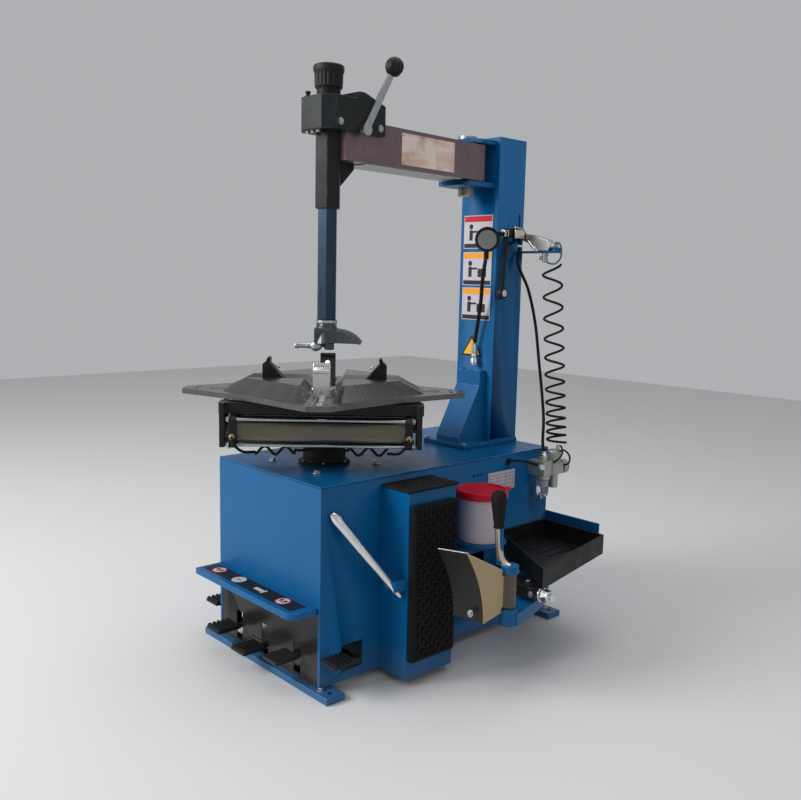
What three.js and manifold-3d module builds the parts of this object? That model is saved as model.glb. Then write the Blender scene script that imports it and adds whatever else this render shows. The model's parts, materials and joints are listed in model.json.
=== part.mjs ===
// Swing-arm tire changer: cabinet on two skids, four-jaw turntable, column with swing arm and mast,
// side bead breaker, foot pedals, air regulator, inflator and hoses.
// Millimetres. +X is the bead-breaker side, -Y the operator's side, +Z up.
// The origin is on the floor, under the middle of the front skid.
import * as THREE from "three";
import { mergeVertices } from "three/addons/utils/BufferGeometryUtils.js";
import Module from "manifold-3d";

const wasm = await Module();
wasm.setup();

// ---------- driving dimensions ----------
const GAP = 0.3; // clearance left between neighbouring solids
const FRONT = -8; // y of the cabinet's front face
const skid = { half: 254, width: 50, height: 15.7, rearY: FRONT + 762 };
const cabinet = { half: 205, depth: 767, bottom: 16, top: 466, wall: 3, lid: 4 };
const hood = { z: 198, reach: 70, lip: 15, left: -203, right: 197 };
const padBox = { outer: 296, front: FRONT + 170, rear: FRONT + 316, top: 444 };
const pad = { thickness: 14, bottom: 57, top: 416 };
const column = { x0: -25, x1: 104, y0: FRONT + 643, y1: FRONT + 747, top: 1272, wall: 5 };
const basePlate = { x0: -48, x1: 106, y0: FRONT + 542, y1: FRONT + 752, thickness: 12 };
const pivot = { x: 38, y: FRONT + 590 };
const arm = { size: 90, wall: 6, bottom: 1159, rear: 18, reach: 478, overlap: 10, swing: 4 };
const mast = { acrossFlats: 40.5, top: 1322, bottom: 812, sleeve: 53, sleeveBottom: 1056 };
const housing = { bottom: 1220, top: 1291, hump: 1306, halfWidth: 58, front: 50, rear: 120 };
const table = {
  y: FRONT + 165, turn: 4.4, top: 642, thickness: 12, longReach: 332, shortReach: 286, hollow: 216, slot: 16,
  boss: 30,
};
const jaw = { inner: 76, outer: 146, width: 38, top: 718 };
const clampCylinder = { offset: 110, radius: 33, half: 203, z: 560 };
const pulleyZ = { bottom: 283, top: 303 };
const motor = { x: -60, y: FRONT + 600, radius: 72, bottom: 60, top: 262 };
const breakerHinge = { x: 240, y: FRONT + 690 };
const ram = { y: FRONT + 430, z: 205, hingeX: -170, radius: 58, front: 40, rod: 10 };
const armFront = { x: 452, y: FRONT + 330 };
const blade = { tipX: 376, outerX: 453, bottom: 178, top: 347, frontY: FRONT + 248, lean: 59, thickness: 7 };
const bucket = { x: 272, y: FRONT + 432, radius: 57, bottom: 290, top: 407 };
const tray = { bottom: 222, top: 270, wall: 3 };
const lever = { high: [220, FRONT + 36, 390], low: [282, FRONT + 152, 224] };
const shelf = { z: 985, thickness: 5, reach: 236 };
const airUnit = { x: 243, filterY: FRONT + 700, regulatorY: FRONT + 744, z: 428 };

// ---------- materials ----------
const finish = (color, roughness, metalness = 0) =>
  new THREE.MeshStandardMaterial({ color, roughness, metalness });
const bluePaint = finish(0x0a5a9e, 0.35, 0.1);
const blackPaint = finish(0x17181a, 0.5, 0.2);
const armPaint = finish(0x5b4a50, 0.35, 0.6);
const steel = finish(0xa9adb0, 0.35, 0.9);
const darkSteel = finish(0x3c3d3f, 0.45, 0.8);
const chrome = finish(0xd5d8da, 0.15, 1);
const tubeMetal = finish(0x8a8578, 0.35, 0.8);
const rubber = finish(0x131415, 0.85);
const redPlastic = finish(0xd0102c, 0.4);
const whitePlastic = finish(0xd9d2dc, 0.45);
const clearPlastic = finish(0xcfd8dc, 0.1);
const greyAlloy = finish(0x9da19b, 0.45, 0.5);
const blackPlastic = finish(0x1c1f20, 0.55);
const tanPaint = finish(0xb5a384, 0.4, 0.2);
const motorPaint = finish(0x50606c, 0.5, 0.3);

// ---------- solids ----------
function solidOf(geometry) {
  geometry.deleteAttribute("normal");
  geometry.deleteAttribute("uv");
  const merged = mergeVertices(geometry, 1e-4);
  const index = merged.index.array;
  const faces = [];
  for (let i = 0; i < index.length; i += 3) {
    const [a, b, c] = index.slice(i, i + 3);
    if (a !== b && b !== c && c !== a) faces.push(a, b, c);
  }
  return new wasm.Manifold(
    new wasm.Mesh({
      numProp: 3,
      vertProperties: merged.attributes.position.array,
      triVerts: new Uint32Array(faces),
    }),
  );
}

const join = (first, ...others) => others.reduce((a, b) => a.add(b), first);
const cut = (first, ...others) => others.reduce((a, b) => a.subtract(b), first);

function box(x0, x1, y0, y1, z0, z1) {
  const g = new THREE.BoxGeometry(x1 - x0, y1 - y0, z1 - z0);
  return solidOf(g.translate((x0 + x1) / 2, (y0 + y1) / 2, (z0 + z1) / 2));
}

// A cylinder or cone between two points.
function rodBetween(start, end, radius, sides = 20, endRadius = radius) {
  const a = new THREE.Vector3(...start);
  const b = new THREE.Vector3(...end);
  const along = b.clone().sub(a);
  const g = new THREE.CylinderGeometry(endRadius, radius, along.length(), sides);
  const turn = new THREE.Quaternion().setFromUnitVectors(
    new THREE.Vector3(0, 1, 0),
    along.clone().normalize(),
  );
  g.applyQuaternion(turn);
  return solidOf(g.translate(...a.add(b).multiplyScalar(0.5).toArray()));
}

const rodZ = (x, y, z0, z1, radius, sides) => rodBetween([x, y, z0], [x, y, z1], radius, sides);
const rodX = (y, z, x0, x1, radius, sides) => rodBetween([x0, y, z], [x1, y, z], radius, sides);
const rodY = (x, z, y0, y1, radius, sides) => rodBetween([x, y0, z], [x, y1, z], radius, sides);
const ball = (x, y, z, radius) =>
  solidOf(new THREE.SphereGeometry(radius, 14, 10).translate(x, y, z));

// Extrusions of an outline drawn in XY along Z, in YZ along X, and in XZ along Y.
function extrude(outline, depth, basis, offset) {
  const points = outline.map(([a, b]) => new THREE.Vector2(a, b));
  const g = new THREE.ExtrudeGeometry(new THREE.Shape(points), { depth, bevelEnabled: false });
  const m = new THREE.Matrix4().makeBasis(...basis.map((v) => new THREE.Vector3(...v)));
  return solidOf(g.applyMatrix4(m.setPosition(...offset)));
}
const plateXY = (outline, z0, z1) =>
  extrude(outline, z1 - z0, [[1, 0, 0], [0, 1, 0], [0, 0, 1]], [0, 0, z0]);
const plateYZ = (outline, x0, x1) =>
  extrude(outline, x1 - x0, [[0, 1, 0], [0, 0, 1], [1, 0, 0]], [x0, 0, 0]);
const plateXZ = (outline, y0, y1) =>
  extrude(outline, y1 - y0, [[1, 0, 0], [0, 0, 1], [0, -1, 0]], [0, y1, 0]);

// A pipe along a smooth curve through the given points.
function pipe(points, radius, sides, steps) {
  const path = new THREE.CatmullRomCurve3(points.map((p) => new THREE.Vector3(...p)));
  const ring = new THREE.Shape();
  for (let i = 0; i < sides; i++) {
    const a = (2 * Math.PI * i) / sides;
    ring[i ? "lineTo" : "moveTo"](radius * Math.cos(a), radius * Math.sin(a));
  }
  ring.closePath();
  return solidOf(new THREE.ExtrudeGeometry(ring, { steps, extrudePath: path, bevelEnabled: false }));
}

// A solid between two convex outlines with the same number of points.
function frustum(lower, upper, z0, z1) {
  const n = lower.length;
  const at = [...lower.map(([x, y]) => [x, y, z0]), ...upper.map(([x, y]) => [x, y, z1])];
  const faces = [];
  for (let i = 0; i < n; i++) {
    const j = (i + 1) % n;
    faces.push(i, j, n + j, i, n + j, n + i);
    if (i > 0 && i < n - 1) faces.push(0, j, i, n, n + i, n + j);
  }
  return indexed(at, faces);
}

// A solid from points and triangles, turned so that its faces point outwards.
function indexed(points, faces) {
  const make = (index) => {
    const g = new THREE.BufferGeometry();
    g.setAttribute("position", new THREE.Float32BufferAttribute(points.flat(), 3));
    g.setIndex(index);
    return solidOf(g);
  };
  const made = make(faces);
  return made.volume() > 0 ? made : make([...faces].reverse());
}

// A curved plate: front(u, v) and back(u, v) give its two faces for u and v from 0 to 1.
function curvedPlate(front, back, nu, nv) {
  const points = [];
  for (const face of [front, back])
    for (let i = 0; i <= nu; i++)
      for (let j = 0; j <= nv; j++) points.push(face(i / nu, j / nv));
  const id = (side, i, j) => side * (nu + 1) * (nv + 1) + i * (nv + 1) + j;
  const faces = [];
  const quad = (a, b, c, d) => faces.push(a, b, c, a, c, d);
  for (let i = 0; i < nu; i++)
    for (let j = 0; j < nv; j++) {
      quad(id(0, i, j), id(0, i + 1, j), id(0, i + 1, j + 1), id(0, i, j + 1));
      quad(id(1, i, j), id(1, i, j + 1), id(1, i + 1, j + 1), id(1, i + 1, j));
    }
  for (let i = 0; i < nu; i++) {
    quad(id(0, i, 0), id(1, i, 0), id(1, i + 1, 0), id(0, i + 1, 0));
    quad(id(0, i + 1, nv), id(1, i + 1, nv), id(1, i, nv), id(0, i, nv));
  }
  for (let j = 0; j < nv; j++) {
    quad(id(0, 0, j + 1), id(1, 0, j + 1), id(1, 0, j), id(0, 0, j));
    quad(id(0, nu, j), id(1, nu, j), id(1, nu, j + 1), id(0, nu, j + 1));
  }
  return indexed(points, faces);
}

function rotatedOutline(outline, degrees, cx = 0, cy = 0) {
  const a = THREE.MathUtils.degToRad(degrees);
  const turn = ([x, y]) => [
    cx + x * Math.cos(a) - y * Math.sin(a),
    cy + x * Math.sin(a) + y * Math.cos(a),
  ];
  return outline.map(turn);
}

// ---------- assembly ----------
const machine = new THREE.Group();

function add(name, solid, material, parent = machine) {
  const mesh = solid.getMesh();
  const g = new THREE.BufferGeometry();
  g.setAttribute("position", new THREE.BufferAttribute(mesh.vertProperties, 3));
  g.setIndex(new THREE.BufferAttribute(mesh.triVerts, 1));
  g.computeVertexNormals();
  const piece = new THREE.Mesh(g, material);
  piece.name = name;
  parent.add(piece);
}

// Skids: flat bars under the cabinet, with a bolt hole near each end.
function addSkids() {
  const bar = (y) =>
    cut(
      box(-skid.half, skid.half, y - skid.width / 2, y + skid.width / 2, 0, skid.height),
      rodZ(-skid.half + 20, y, -1, skid.height + 1, 7, 12),
      rodZ(skid.half - 20, y, -1, skid.height + 1, 7, 12),
    );
  add("front_skid", bar(0), bluePaint);
  add("rear_skid", bar(skid.rearY), bluePaint);
}

// Cabinet: folded sheet shell, open below and above, with a top plate, a pedal panel and a hood.
function addCabinet() {
  const { half, depth, bottom, top, wall, lid } = cabinet;
  const rear = FRONT + depth;
  const upper = top - lid - GAP;
  const panelTop = 180;
  const panelHalf = half - 8;
  const slotXs = [-118, -9, 120];
  const shellOuter = box(-half, half, FRONT, rear, bottom, upper);
  const shellInner = box(-half + wall, half - wall, FRONT + wall, rear - wall, bottom - 1, top);
  const frontOpening = box(-panelHalf, panelHalf, FRONT - 1, FRONT + wall + 1, bottom - 1, panelTop);
  const ramWindow = box(half - wall - 1, half + 1, ram.y - 18, ram.y + 92, ram.z - 20, ram.z + 20);
  const pedalSlots = [-1, 1].map((side) =>
    box(side > 0 ? half - wall - 1 : -half - 1, side > 0 ? half + 1 : -half + wall + 1,
      FRONT + 60, FRONT + 120, 38, 98),
  );
  // Hinge lugs of the bead breaker and the shelf that carries the lubricant bucket.
  const lug = (z0, z1) =>
    cut(
      join(
        box(half - 1, breakerHinge.x, breakerHinge.y - 26, breakerHinge.y + 26, z0, z1),
        rodZ(breakerHinge.x, breakerHinge.y, z0, z1, 26, 24),
      ),
      rodZ(breakerHinge.x, breakerHinge.y, z0 - 1, z1 + 1, 10.5, 20),
    );
  const bucketShelf = join(
    box(half - 1, bucket.x, bucket.y - 45, bucket.y + 45, bucket.bottom - 7, bucket.bottom - GAP),
    rodZ(bucket.x, bucket.y, bucket.bottom - 7, bucket.bottom - GAP, 62, 28),
  );
  const shelfRib = plateXZ(
    [[half - 1, 262], [half + 30, bucket.bottom - 6], [half - 1, bucket.bottom - 6]],
    bucket.y - 3, bucket.y + 3,
  );
  const shell = join(
    cut(shellOuter, shellInner, frontOpening, ramWindow, ...pedalSlots),
    lug(112, 124),
    lug(192, 204),
    bucketShelf,
    shelfRib,
  );
  add("cabinet_shell", shell, bluePaint);

  const neckHole = rodZ(0, table.y, top - 30, top + 1, 52, 32);
  add("cabinet_top", cut(box(-half, half, FRONT, rear, top - lid, top), neckHole), bluePaint);

  const panel = box(-panelHalf + GAP, panelHalf - GAP, FRONT + 1, FRONT + wall, bottom, panelTop - GAP);
  const slots = slotXs.map((x) => box(x - 13, x + 13, FRONT - 5, FRONT + 8, 24, 96));
  add("pedal_panel", cut(panel, ...slots), blackPaint);

  const sheet = 3;
  const inner = { left: hood.left + sheet, right: hood.right - sheet };
  const tip = FRONT - hood.reach;
  const outline = (left, right, edge, radius) => {
    const points = [[left, FRONT - GAP], [left, edge]];
    for (let i = 0; i <= 5; i++) {
      const a = (Math.PI / 2) * (i / 5);
      points.push([right - radius + radius * Math.sin(a), edge + radius - radius * Math.cos(a)]);
    }
    points.push([right, FRONT - GAP]);
    return points;
  };
  const outer = plateXY(outline(hood.left, hood.right, tip, 26), hood.z - hood.lip, hood.z);
  const hollow = plateXY(
    outline(inner.left, inner.right, tip + sheet, 23).map(([x, y]) => [x, y > FRONT - 1 ? y + 5 : y]),
    hood.z - hood.lip - 1, hood.z - sheet,
  );
  add("pedal_hood", cut(outer, hollow), bluePaint);
}

// Pad box: the housing beside the wheel rest, with a rubber pad outside and a mat on top.
function addPadBox() {
  const x0 = cabinet.half + GAP;
  const { outer, front, rear, top } = padBox;
  const sheet = 3;
  const outside = box(x0, outer, front, rear, cabinet.bottom, top);
  const inside = box(x0 - 1, outer - sheet, front + sheet, rear - sheet, cabinet.bottom - 1, top - sheet);
  // Cradle on the front wall, open to the front, that holds the lower end of the tire lever.
  const [lowX, lowY, lowZ] = lever.low;
  const leverEnd = [2 * lowX - lever.high[0], 2 * lowY - lever.high[1], 2 * lowZ - lever.high[2]];
  const shifted = ([x, y, z], dy) => [x, y + dy, z];
  const leverPaths = [0, -4, -8, -12, -16, -20, -24].map((dy) =>
    rodBetween(shifted(leverEnd, dy), shifted(lever.high, dy), 9.8, 14),
  );
  const cradle = cut(box(lowX - 22, outer - 1, lowY - 16, front + 1, lowZ + 4, lowZ + 26), ...leverPaths);
  add("pad_box", join(cut(outside, inside), cradle), bluePaint);
  const face = outer + GAP;
  const edge = 4;
  const outlineYZ = [
    [front + 4, pad.bottom + edge], [front + 4 + edge, pad.bottom],
    [rear - 4 - edge, pad.bottom], [rear - 4, pad.bottom + edge],
    [rear - 4, pad.top - edge], [rear - 4 - edge, pad.top],
    [front + 4 + edge, pad.top], [front + 4, pad.top - edge],
  ];
  add("rubber_pad", plateYZ(outlineYZ, face, face + pad.thickness), rubber);
  add("box_top_mat", box(x0 + 2, outer + 5, front - 4, rear + 5, top + GAP, top + 7), rubber);
}

// Column with its base plate, gusset and the two plates that hold the swing arm.
function addColumn() {
  const { x0, x1, y0, y1, top, wall } = column;
  const floor = cabinet.top + GAP;
  const plateTop = floor + basePlate.thickness;
  const base = box(basePlate.x0, basePlate.x1, basePlate.y0, basePlate.y1, floor, plateTop);
  const middle = (x0 + x1) / 2;
  const slopeTop = plateTop + 150;
  const ribTop = plateTop + 190;
  const ribs = [-38, 38].map((dx) =>
    plateYZ(
      [[basePlate.y0 + 6, plateTop - 1], [y0 - GAP, plateTop - 1], [y0 - GAP, ribTop],
        [y0 - 22, ribTop], [y0 - 22, slopeTop], [basePlate.y0 + 6, plateTop + 14]],
      middle + dx - 4, middle + dx + 4,
    ),
  );
  const cover = plateYZ(
    [[basePlate.y0 + 4, plateTop - 1], [basePlate.y0 + 8, plateTop - 1], [basePlate.y0 + 8, plateTop + 12],
      [y0 - 21, slopeTop - 4], [y0 - 21, ribTop], [y0 - 25, ribTop], [y0 - 25, slopeTop],
      [basePlate.y0 + 4, plateTop + 16]],
    middle - 42, middle + 42,
  );
  add("column_base", join(base, ...ribs, cover), bluePaint);

  const foot = plateTop + GAP;
  const tube = cut(
    box(x0, x1, y0, y1, foot, top),
    box(x0 + wall, x1 - wall, y0 + wall, y1 - wall, foot - 1, top - wall),
  );
  const armTop = arm.bottom + arm.size;
  const eye = (z0, z1, reach) =>
    cut(
      join(
        box(x0 + 12, x1 - 12, pivot.y, y0 + 1, z0, z1),
        plateXY(
          [[x0 + 12, pivot.y + 1], [x0 + 24, pivot.y - reach], [x1 - 24, pivot.y - reach],
            [x1 - 12, pivot.y + 1]], z0, z1),
      ),
      rodZ(pivot.x, pivot.y, z0 - 1, z1 + 1, 15.5, 24),
    );
  const hookX = x1 + 22;
  const hook = join(
    box(x1 - 1, hookX, y0 + 40, y0 + 58, 1004, 1009),
    box(hookX - 4, hookX, y0 + 40, y0 + 58, 1008, 1018),
  );
  const rest = join(
    box(x1 - 1, shelf.reach, y1 - 30, y1, shelf.z - shelf.thickness, shelf.z),
    box(shelf.reach - 4, shelf.reach, y1 - 30, y1, shelf.z - 1, shelf.z + 9),
  );
  const head = join(tube, eye(armTop + 3, armTop + 13, 34), eye(arm.bottom - 15, arm.bottom - 3, 62));
  add("column_tube", join(head, hook, rest), bluePaint);

  const pin = join(
    rodZ(pivot.x, pivot.y, arm.bottom - 40, armTop + 18, 15, 24),
    rodZ(pivot.x, pivot.y, armTop + 13 + GAP, armTop + 22, 24, 24),
    rodZ(pivot.x, pivot.y, arm.bottom - 38, arm.bottom - 15 - GAP, 21, 6),
  );
  add("arm_pivot_pin", pin, steel);
}

// Swing arm group: its own frame has the pivot at the origin and the arm along -Y.
const armGroup = new THREE.Group();
armGroup.position.set(pivot.x, pivot.y, 0);
armGroup.rotation.z = THREE.MathUtils.degToRad(arm.swing);
machine.add(armGroup);

function addSwingArm() {
  const half = arm.size / 2;
  const { bottom, wall, rear, reach } = arm;
  const top = bottom + arm.size;
  const frontY = -reach + arm.overlap;
  const sleeveSeat = hexRod(mast.sleeve + 2 * GAP, bottom - 1, top + 1);
  const tube = cut(
    box(-half, half, frontY, rear, bottom, top),
    box(-half + wall, half - wall, frontY + wall, rear + 1, bottom + wall, top - wall),
  );
  const boss = join(tube, rodZ(0, 0, bottom, top, 26, 24));
  add("swing_arm", cut(boss, rodZ(0, 0, bottom - 1, top + 1, 15.5, 24), sleeveSeat), armPaint, armGroup);

  const s = mast.sleeve / 2;
  const sleeveTop = housing.bottom - GAP;
  const gusset = plateYZ(
    [[-reach + s - 3, bottom - 62], [-reach + s - 3, bottom - GAP], [-reach + s + 48, bottom - GAP],
      [-reach + s + 48, bottom - 12]],
    -5, 5,
  );
  const body = join(hexRod(mast.sleeve, mast.sleeveBottom, sleeveTop), gusset);
  const bore = hexRod(mast.acrossFlats + 1.2, mast.sleeveBottom - 1, sleeveTop + 1);
  add("mast_sleeve", cut(body, bore), blackPaint, armGroup);

  // Clamp housing: a cast cover over the mast clamp, with chamfered front corners and a rear hump.
  const h = housing;
  const plan = plateXY(
    [[-h.halfWidth + 26, -reach - h.front], [h.halfWidth - 26, -reach - h.front],
      [h.halfWidth, -reach - h.front + 22], [h.halfWidth, -reach + h.rear],
      [-h.halfWidth, -reach + h.rear], [-h.halfWidth, -reach - h.front + 22]],
    h.bottom, h.hump + 1,
  );
  const side = plateYZ(
    [[-reach - h.front - 1, h.bottom - 1], [-reach + h.rear + 1, h.bottom - 1],
      [-reach + h.rear + 1, h.top - 6], [-reach + 56, h.hump], [-reach + 38, h.hump],
      [-reach + 30, h.top], [-reach - h.front - 1, h.top]],
    -h.halfWidth - 1, h.halfWidth + 1,
  );
  const armNotch = box(-half - 1, half + 1, frontY - GAP, -reach + h.rear + 1, h.bottom - 1, top + GAP);
  const wide = plan.intersect(side);
  const mastBore = hexRod(mast.acrossFlats + 1.2, h.bottom - 1, h.top + 2);
  add("clamp_housing", cut(wide, armNotch, mastBore), blackPaint, armGroup);
}

const mastY = -arm.reach;
function hexRod(acrossFlats, z0, z1) {
  const g = new THREE.CylinderGeometry(acrossFlats / Math.sqrt(3), acrossFlats / Math.sqrt(3), z1 - z0, 6);
  g.rotateX(Math.PI / 2).rotateZ(Math.PI / 4);
  return solidOf(g.translate(0, mastY, (z0 + z1) / 2));
}

function addMast() {
  add("hex_shaft", hexRod(mast.acrossFlats, mast.bottom, mast.top), steel, armGroup);
  const neckBottom = housing.top + GAP;
  const neck = rodZ(0, mastY, neckBottom, mast.top + 4, 27, 24);
  const capBottom = mast.top - 6;
  const knob = join(
    rodZ(0, mastY, capBottom, capBottom + 35, 31, 32),
    rodZ(0, mastY, capBottom + 34, capBottom + 45, 34, 32),
  );
  const socket = hexRod(mast.acrossFlats + 2 * GAP, neckBottom - 1, mast.top + GAP);
  add("mast_cap", cut(join(neck, knob), socket), blackPlastic, armGroup);

  // Mount head: a collar and a bell on the shaft, and a duck-bill wing that points to the rear right.
  const top = mast.bottom - GAP;
  const bill = (z, lift) => (u, v) => {
    const length = -26 + 106 * u;
    const width = 24 + 18 * u * u;
    const sideways = (v - 0.5) * 2;
    const drop = 19 * u ** 5 + 7 * u * sideways * sideways;
    return [length * 0.72 - sideways * width * 0.69, mastY + length * 0.69 + sideways * width * 0.72,
      z - drop * lift];
  };
  const wing = curvedPlate(bill(760, 0), bill(793, 1.4), 8, 4);
  const collar = rodZ(0, mastY, 786, top, 23, 24);
  const bell = rodBetween([3, mastY + 3, 759], [0, mastY, 795], 35, 24, 22);
  // The roller turns on a pin that leaves the lug under the bell at 45 degrees.
  const rollerZ = 753;
  const centre = [-10, mastY - 22];
  const along = (d) => [centre[0] + d, centre[1] + d, rollerZ];
  const lug = rodZ(11, mastY - 1, 744, 765, 11, 20);
  const pocket = ball(...centre, rollerZ, 16);
  const head = join(cut(join(wing, collar, bell), pocket), lug, rodBetween(along(-4), along(19), 4, 12));
  add("mount_head", head, darkSteel, armGroup);
  const roller = join(ball(...centre, rollerZ, 13), rodBetween(along(0), along(-34), 6, 12));
  add("head_roller", cut(roller, rodBetween(along(-6), along(12), 4.6, 12)), steel, armGroup);
}

// Lock lever: a flat bar that leans to the rear beside the housing, with a ball knob.
function addLockLever() {
  const x = housing.halfWidth + GAP;
  const root = [mastY + 52, 1226];
  const tip = [mastY + 128, 1352];
  const dy = tip[0] - root[0];
  const dz = tip[1] - root[1];
  const length = Math.hypot(dy, dz);
  const [ny, nz] = [(dz / length) * 9, (-dy / length) * 9];
  const bar = plateYZ(
    [[root[0] - ny, root[1] - nz], [root[0] + ny, root[1] + nz],
      [tip[0] + ny * 0.8, tip[1] + nz * 0.8], [tip[0] - ny * 0.8, tip[1] - nz * 0.8]],
    x, x + 7,
  );
  const lever = join(bar, rodX(root[0], root[1], x, x + 13, 13, 16));
  add("lock_lever", lever, steel, armGroup);
  const knob = ball(x + 3.5, tip[0] + 12, tip[1] + 22, 21.5);
  add("lever_knob", cut(knob, box(x - GAP, x + 7 + GAP, tip[0] - 20, tip[0] + 30, tip[1] - 20, tip[1] + 8)),
    blackPlastic, armGroup);
}

// Turntable: a square plate standing on its corners, four raised bosses and four sliding jaws.
const tableGroup = new THREE.Group();
tableGroup.position.set(0, table.y, 0);
tableGroup.rotation.z = THREE.MathUtils.degToRad(table.turn);
machine.add(tableGroup);
const jawAngles = [225, 315, 45, 135];

function addTurntable() {
  const { top, thickness, longReach, shortReach, hollow, slot, boss: bossHeight } = table;
  const bottom = top - thickness;
  const corner = 24;
  const reachAt = (angle) => (angle % 180 === 45 ? longReach : shortReach);
  const outline = [];
  for (const angle of [45, 135, 225, 315])
    outline.push(
      ...rotatedOutline([[reachAt(angle), -corner], [reachAt(angle), corner]], angle),
      ...rotatedOutline([[hollow, 0]], angle + 45),
    );
  const boss = (angle) => {
    const lower = [[30, 0], [186, -146], [202, -130], [202, 130], [186, 146]];
    const upper = [[64, 0], [156, -92], [162, -86], [162, 86], [156, 92]];
    return frustum(rotatedOutline(lower, angle), rotatedOutline(upper, angle), top - 0.5, top + bossHeight);
  };
  let plate = join(plateXY(outline, bottom, top), ...[0, 90, 180, 270].map(boss));
  for (const angle of jawAngles) {
    const end = shortReach - 14;
    const groove = [[58, -slot / 2], [end, -slot / 2], [end, slot / 2], [58, slot / 2]];
    plate = cut(plate, plateXY(rotatedOutline(groove, angle), bottom - 1, top + 1));
  }
  add("turntable_plate", plate, steel, tableGroup);

  // Carrier below the table: a cross plate with four hangers that hold the clamp cylinders.
  const deckTop = 626;
  const hangerZ = [clampCylinder.z - 34, deckTop];
  const c = clampCylinder;
  const wing = rotatedOutline([[-230, -c.offset - 20], [230, -c.offset - 20], [230, -c.offset + 20],
    [-230, -c.offset + 20]], 45);
  const wingBack = rotatedOutline([[-230, c.offset - 20], [230, c.offset - 20], [230, c.offset + 20],
    [-230, c.offset + 20]], 45);
  const bridge = rotatedOutline([[-60, -c.offset - 20], [60, -c.offset - 20], [60, c.offset + 20],
    [-60, c.offset + 20]], 45);
  const feetPath = rotatedOutline([[-27, -140], [27, -140], [27, 140], [-27, 140]], 45);
  const rails = cut(join(plateXY(wing, 600, deckTop), plateXY(wingBack, 600, deckTop)), plateXY(feetPath, 609, 640));
  let carrier = join(plateXY(bridge, 600, 609), rails);
  for (const side of [-1, 1])
    for (const end of [-1, 1]) {
      const x0 = end > 0 ? 214 : -226;
      const y0 = side * c.offset - 36;
      const hanger = [[x0, y0], [x0 + 12, y0], [x0 + 12, y0 + 72], [x0, y0 + 72]];
      carrier = join(carrier, plateXY(rotatedOutline(hanger, 45), ...hangerZ));
    }
  carrier = join(carrier, rodZ(0, 0, 520 + GAP, 601, 44, 28), rodZ(0, 0, 608, bottom - GAP, 40, 28));
  add("table_carrier", carrier, blackPaint, tableGroup);

  for (const [i, side] of [-1, 1].entries()) {
    const frame = new THREE.Group();
    frame.rotation.z = Math.PI / 4;
    tableGroup.add(frame);
    const y = side * c.offset;
    const cap = (x0) => box(x0, x0 + 16, y - 36, y + 36, c.z - 36, c.z + 36);
    const barrel = join(rodX(y, c.z, -c.half, c.half, c.radius, 28), cap(-c.half - 2), cap(c.half - 14));
    add("clamp_cylinder_" + (i + 1), barrel, tubeMetal, frame);
  }
}

function addJaws() {
  const { inner, outer, width, top } = jaw;
  const face = table.top + GAP;
  const profile = [
    [inner, face], [outer, face], [outer, top - 16], [outer - 8, top - 10], [outer - 12, top],
    [outer - 19, top - 3], [outer - 17, top - 13], [inner + 8, face + 12],
  ];
  const neck = [[inner + 8, table.top - 14], [outer - 8, table.top - 14], [outer - 8, face + 1],
    [inner + 8, face + 1]];
  const footTop = table.top - table.thickness - GAP;
  jawAngles.forEach((angle, i) => {
    const frame = new THREE.Group();
    frame.rotation.z = THREE.MathUtils.degToRad(angle);
    tableGroup.add(frame);
    const body = plateXZ(profile, -width / 2, width / 2);
    const stem = plateXZ(neck, -table.slot / 2 + 0.6, table.slot / 2 - 0.6);
    const foot = box(inner + 4, outer - 4, -22, 22, footTop - 12, footTop);
    add("jaw_" + (i + 1), join(body, stem, foot), i === 1 ? steel : darkSteel, frame);
  });
}

// Drive inside the cabinet: gearbox under the turntable, motor, pulleys and belt.
function addDrive() {
  const ceiling = cabinet.top - cabinet.lid - GAP;
  const gearbox = join(
    box(-80, 80, table.y - 80, table.y + 80, 325, ceiling - 10),
    box(-100, 100, table.y - 100, table.y + 100, ceiling - 12, ceiling),
    rodZ(0, table.y, ceiling - 1, 520, 50, 28),
    rodZ(0, table.y, 308, 326, 30, 20),
  );
  const pulley = (x, y, radius, shaft, z1) =>
    join(rodZ(x, y, pulleyZ.bottom, pulleyZ.top, radius, 28), rodZ(x, y, pulleyZ.top - 1, z1, shaft, 16));
  add("gearbox", gearbox, motorPaint);
  add("gearbox_pulley", pulley(0, table.y, 74, 12, 308 - GAP), darkSteel);
  const m = motor;
  const feet = box(-cabinet.half + cabinet.wall + GAP, m.x, m.y - 50, m.y + 50, m.bottom + 20, m.bottom + 32);
  const motorBody = join(rodZ(m.x, m.y, m.bottom, m.top, m.radius, 28), feet);
  add("motor", motorBody, motorPaint);
  const motorPulley = join(
    rodZ(m.x, m.y, pulleyZ.bottom, pulleyZ.top, 34, 24),
    rodZ(m.x, m.y, m.top + GAP, pulleyZ.bottom + 1, 10, 16),
  );
  add("motor_pulley", motorPulley, darkSteel);
  add("drive_belt", belt(0, table.y, 74, m.x, m.y, 34), rubber);
}

// A flat loop round two circles.
function belt(ax, ay, ra, bx, by, rb) {
  const loop = (grow) => {
    const distance = Math.hypot(bx - ax, by - ay);
    const heading = Math.atan2(by - ay, bx - ax);
    const open = Math.acos((ra - rb) / distance);
    const points = [];
    const arc = (cx, cy, r, from, to) => {
      for (let i = 0; i <= 12; i++) {
        const a = from + ((to - from) * i) / 12;
        points.push([cx + (r + grow) * Math.cos(a), cy + (r + grow) * Math.sin(a)]);
      }
    };
    arc(ax, ay, ra, heading + open, heading + 2 * Math.PI - open);
    arc(bx, by, rb, heading - open, heading + open);
    return points;
  };
  const z = [pulleyZ.bottom + 3, pulleyZ.top - 3];
  return cut(plateXY(loop(7), ...z), plateXY(loop(1.6), z[0] - 1, z[1] + 1));
}

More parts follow.
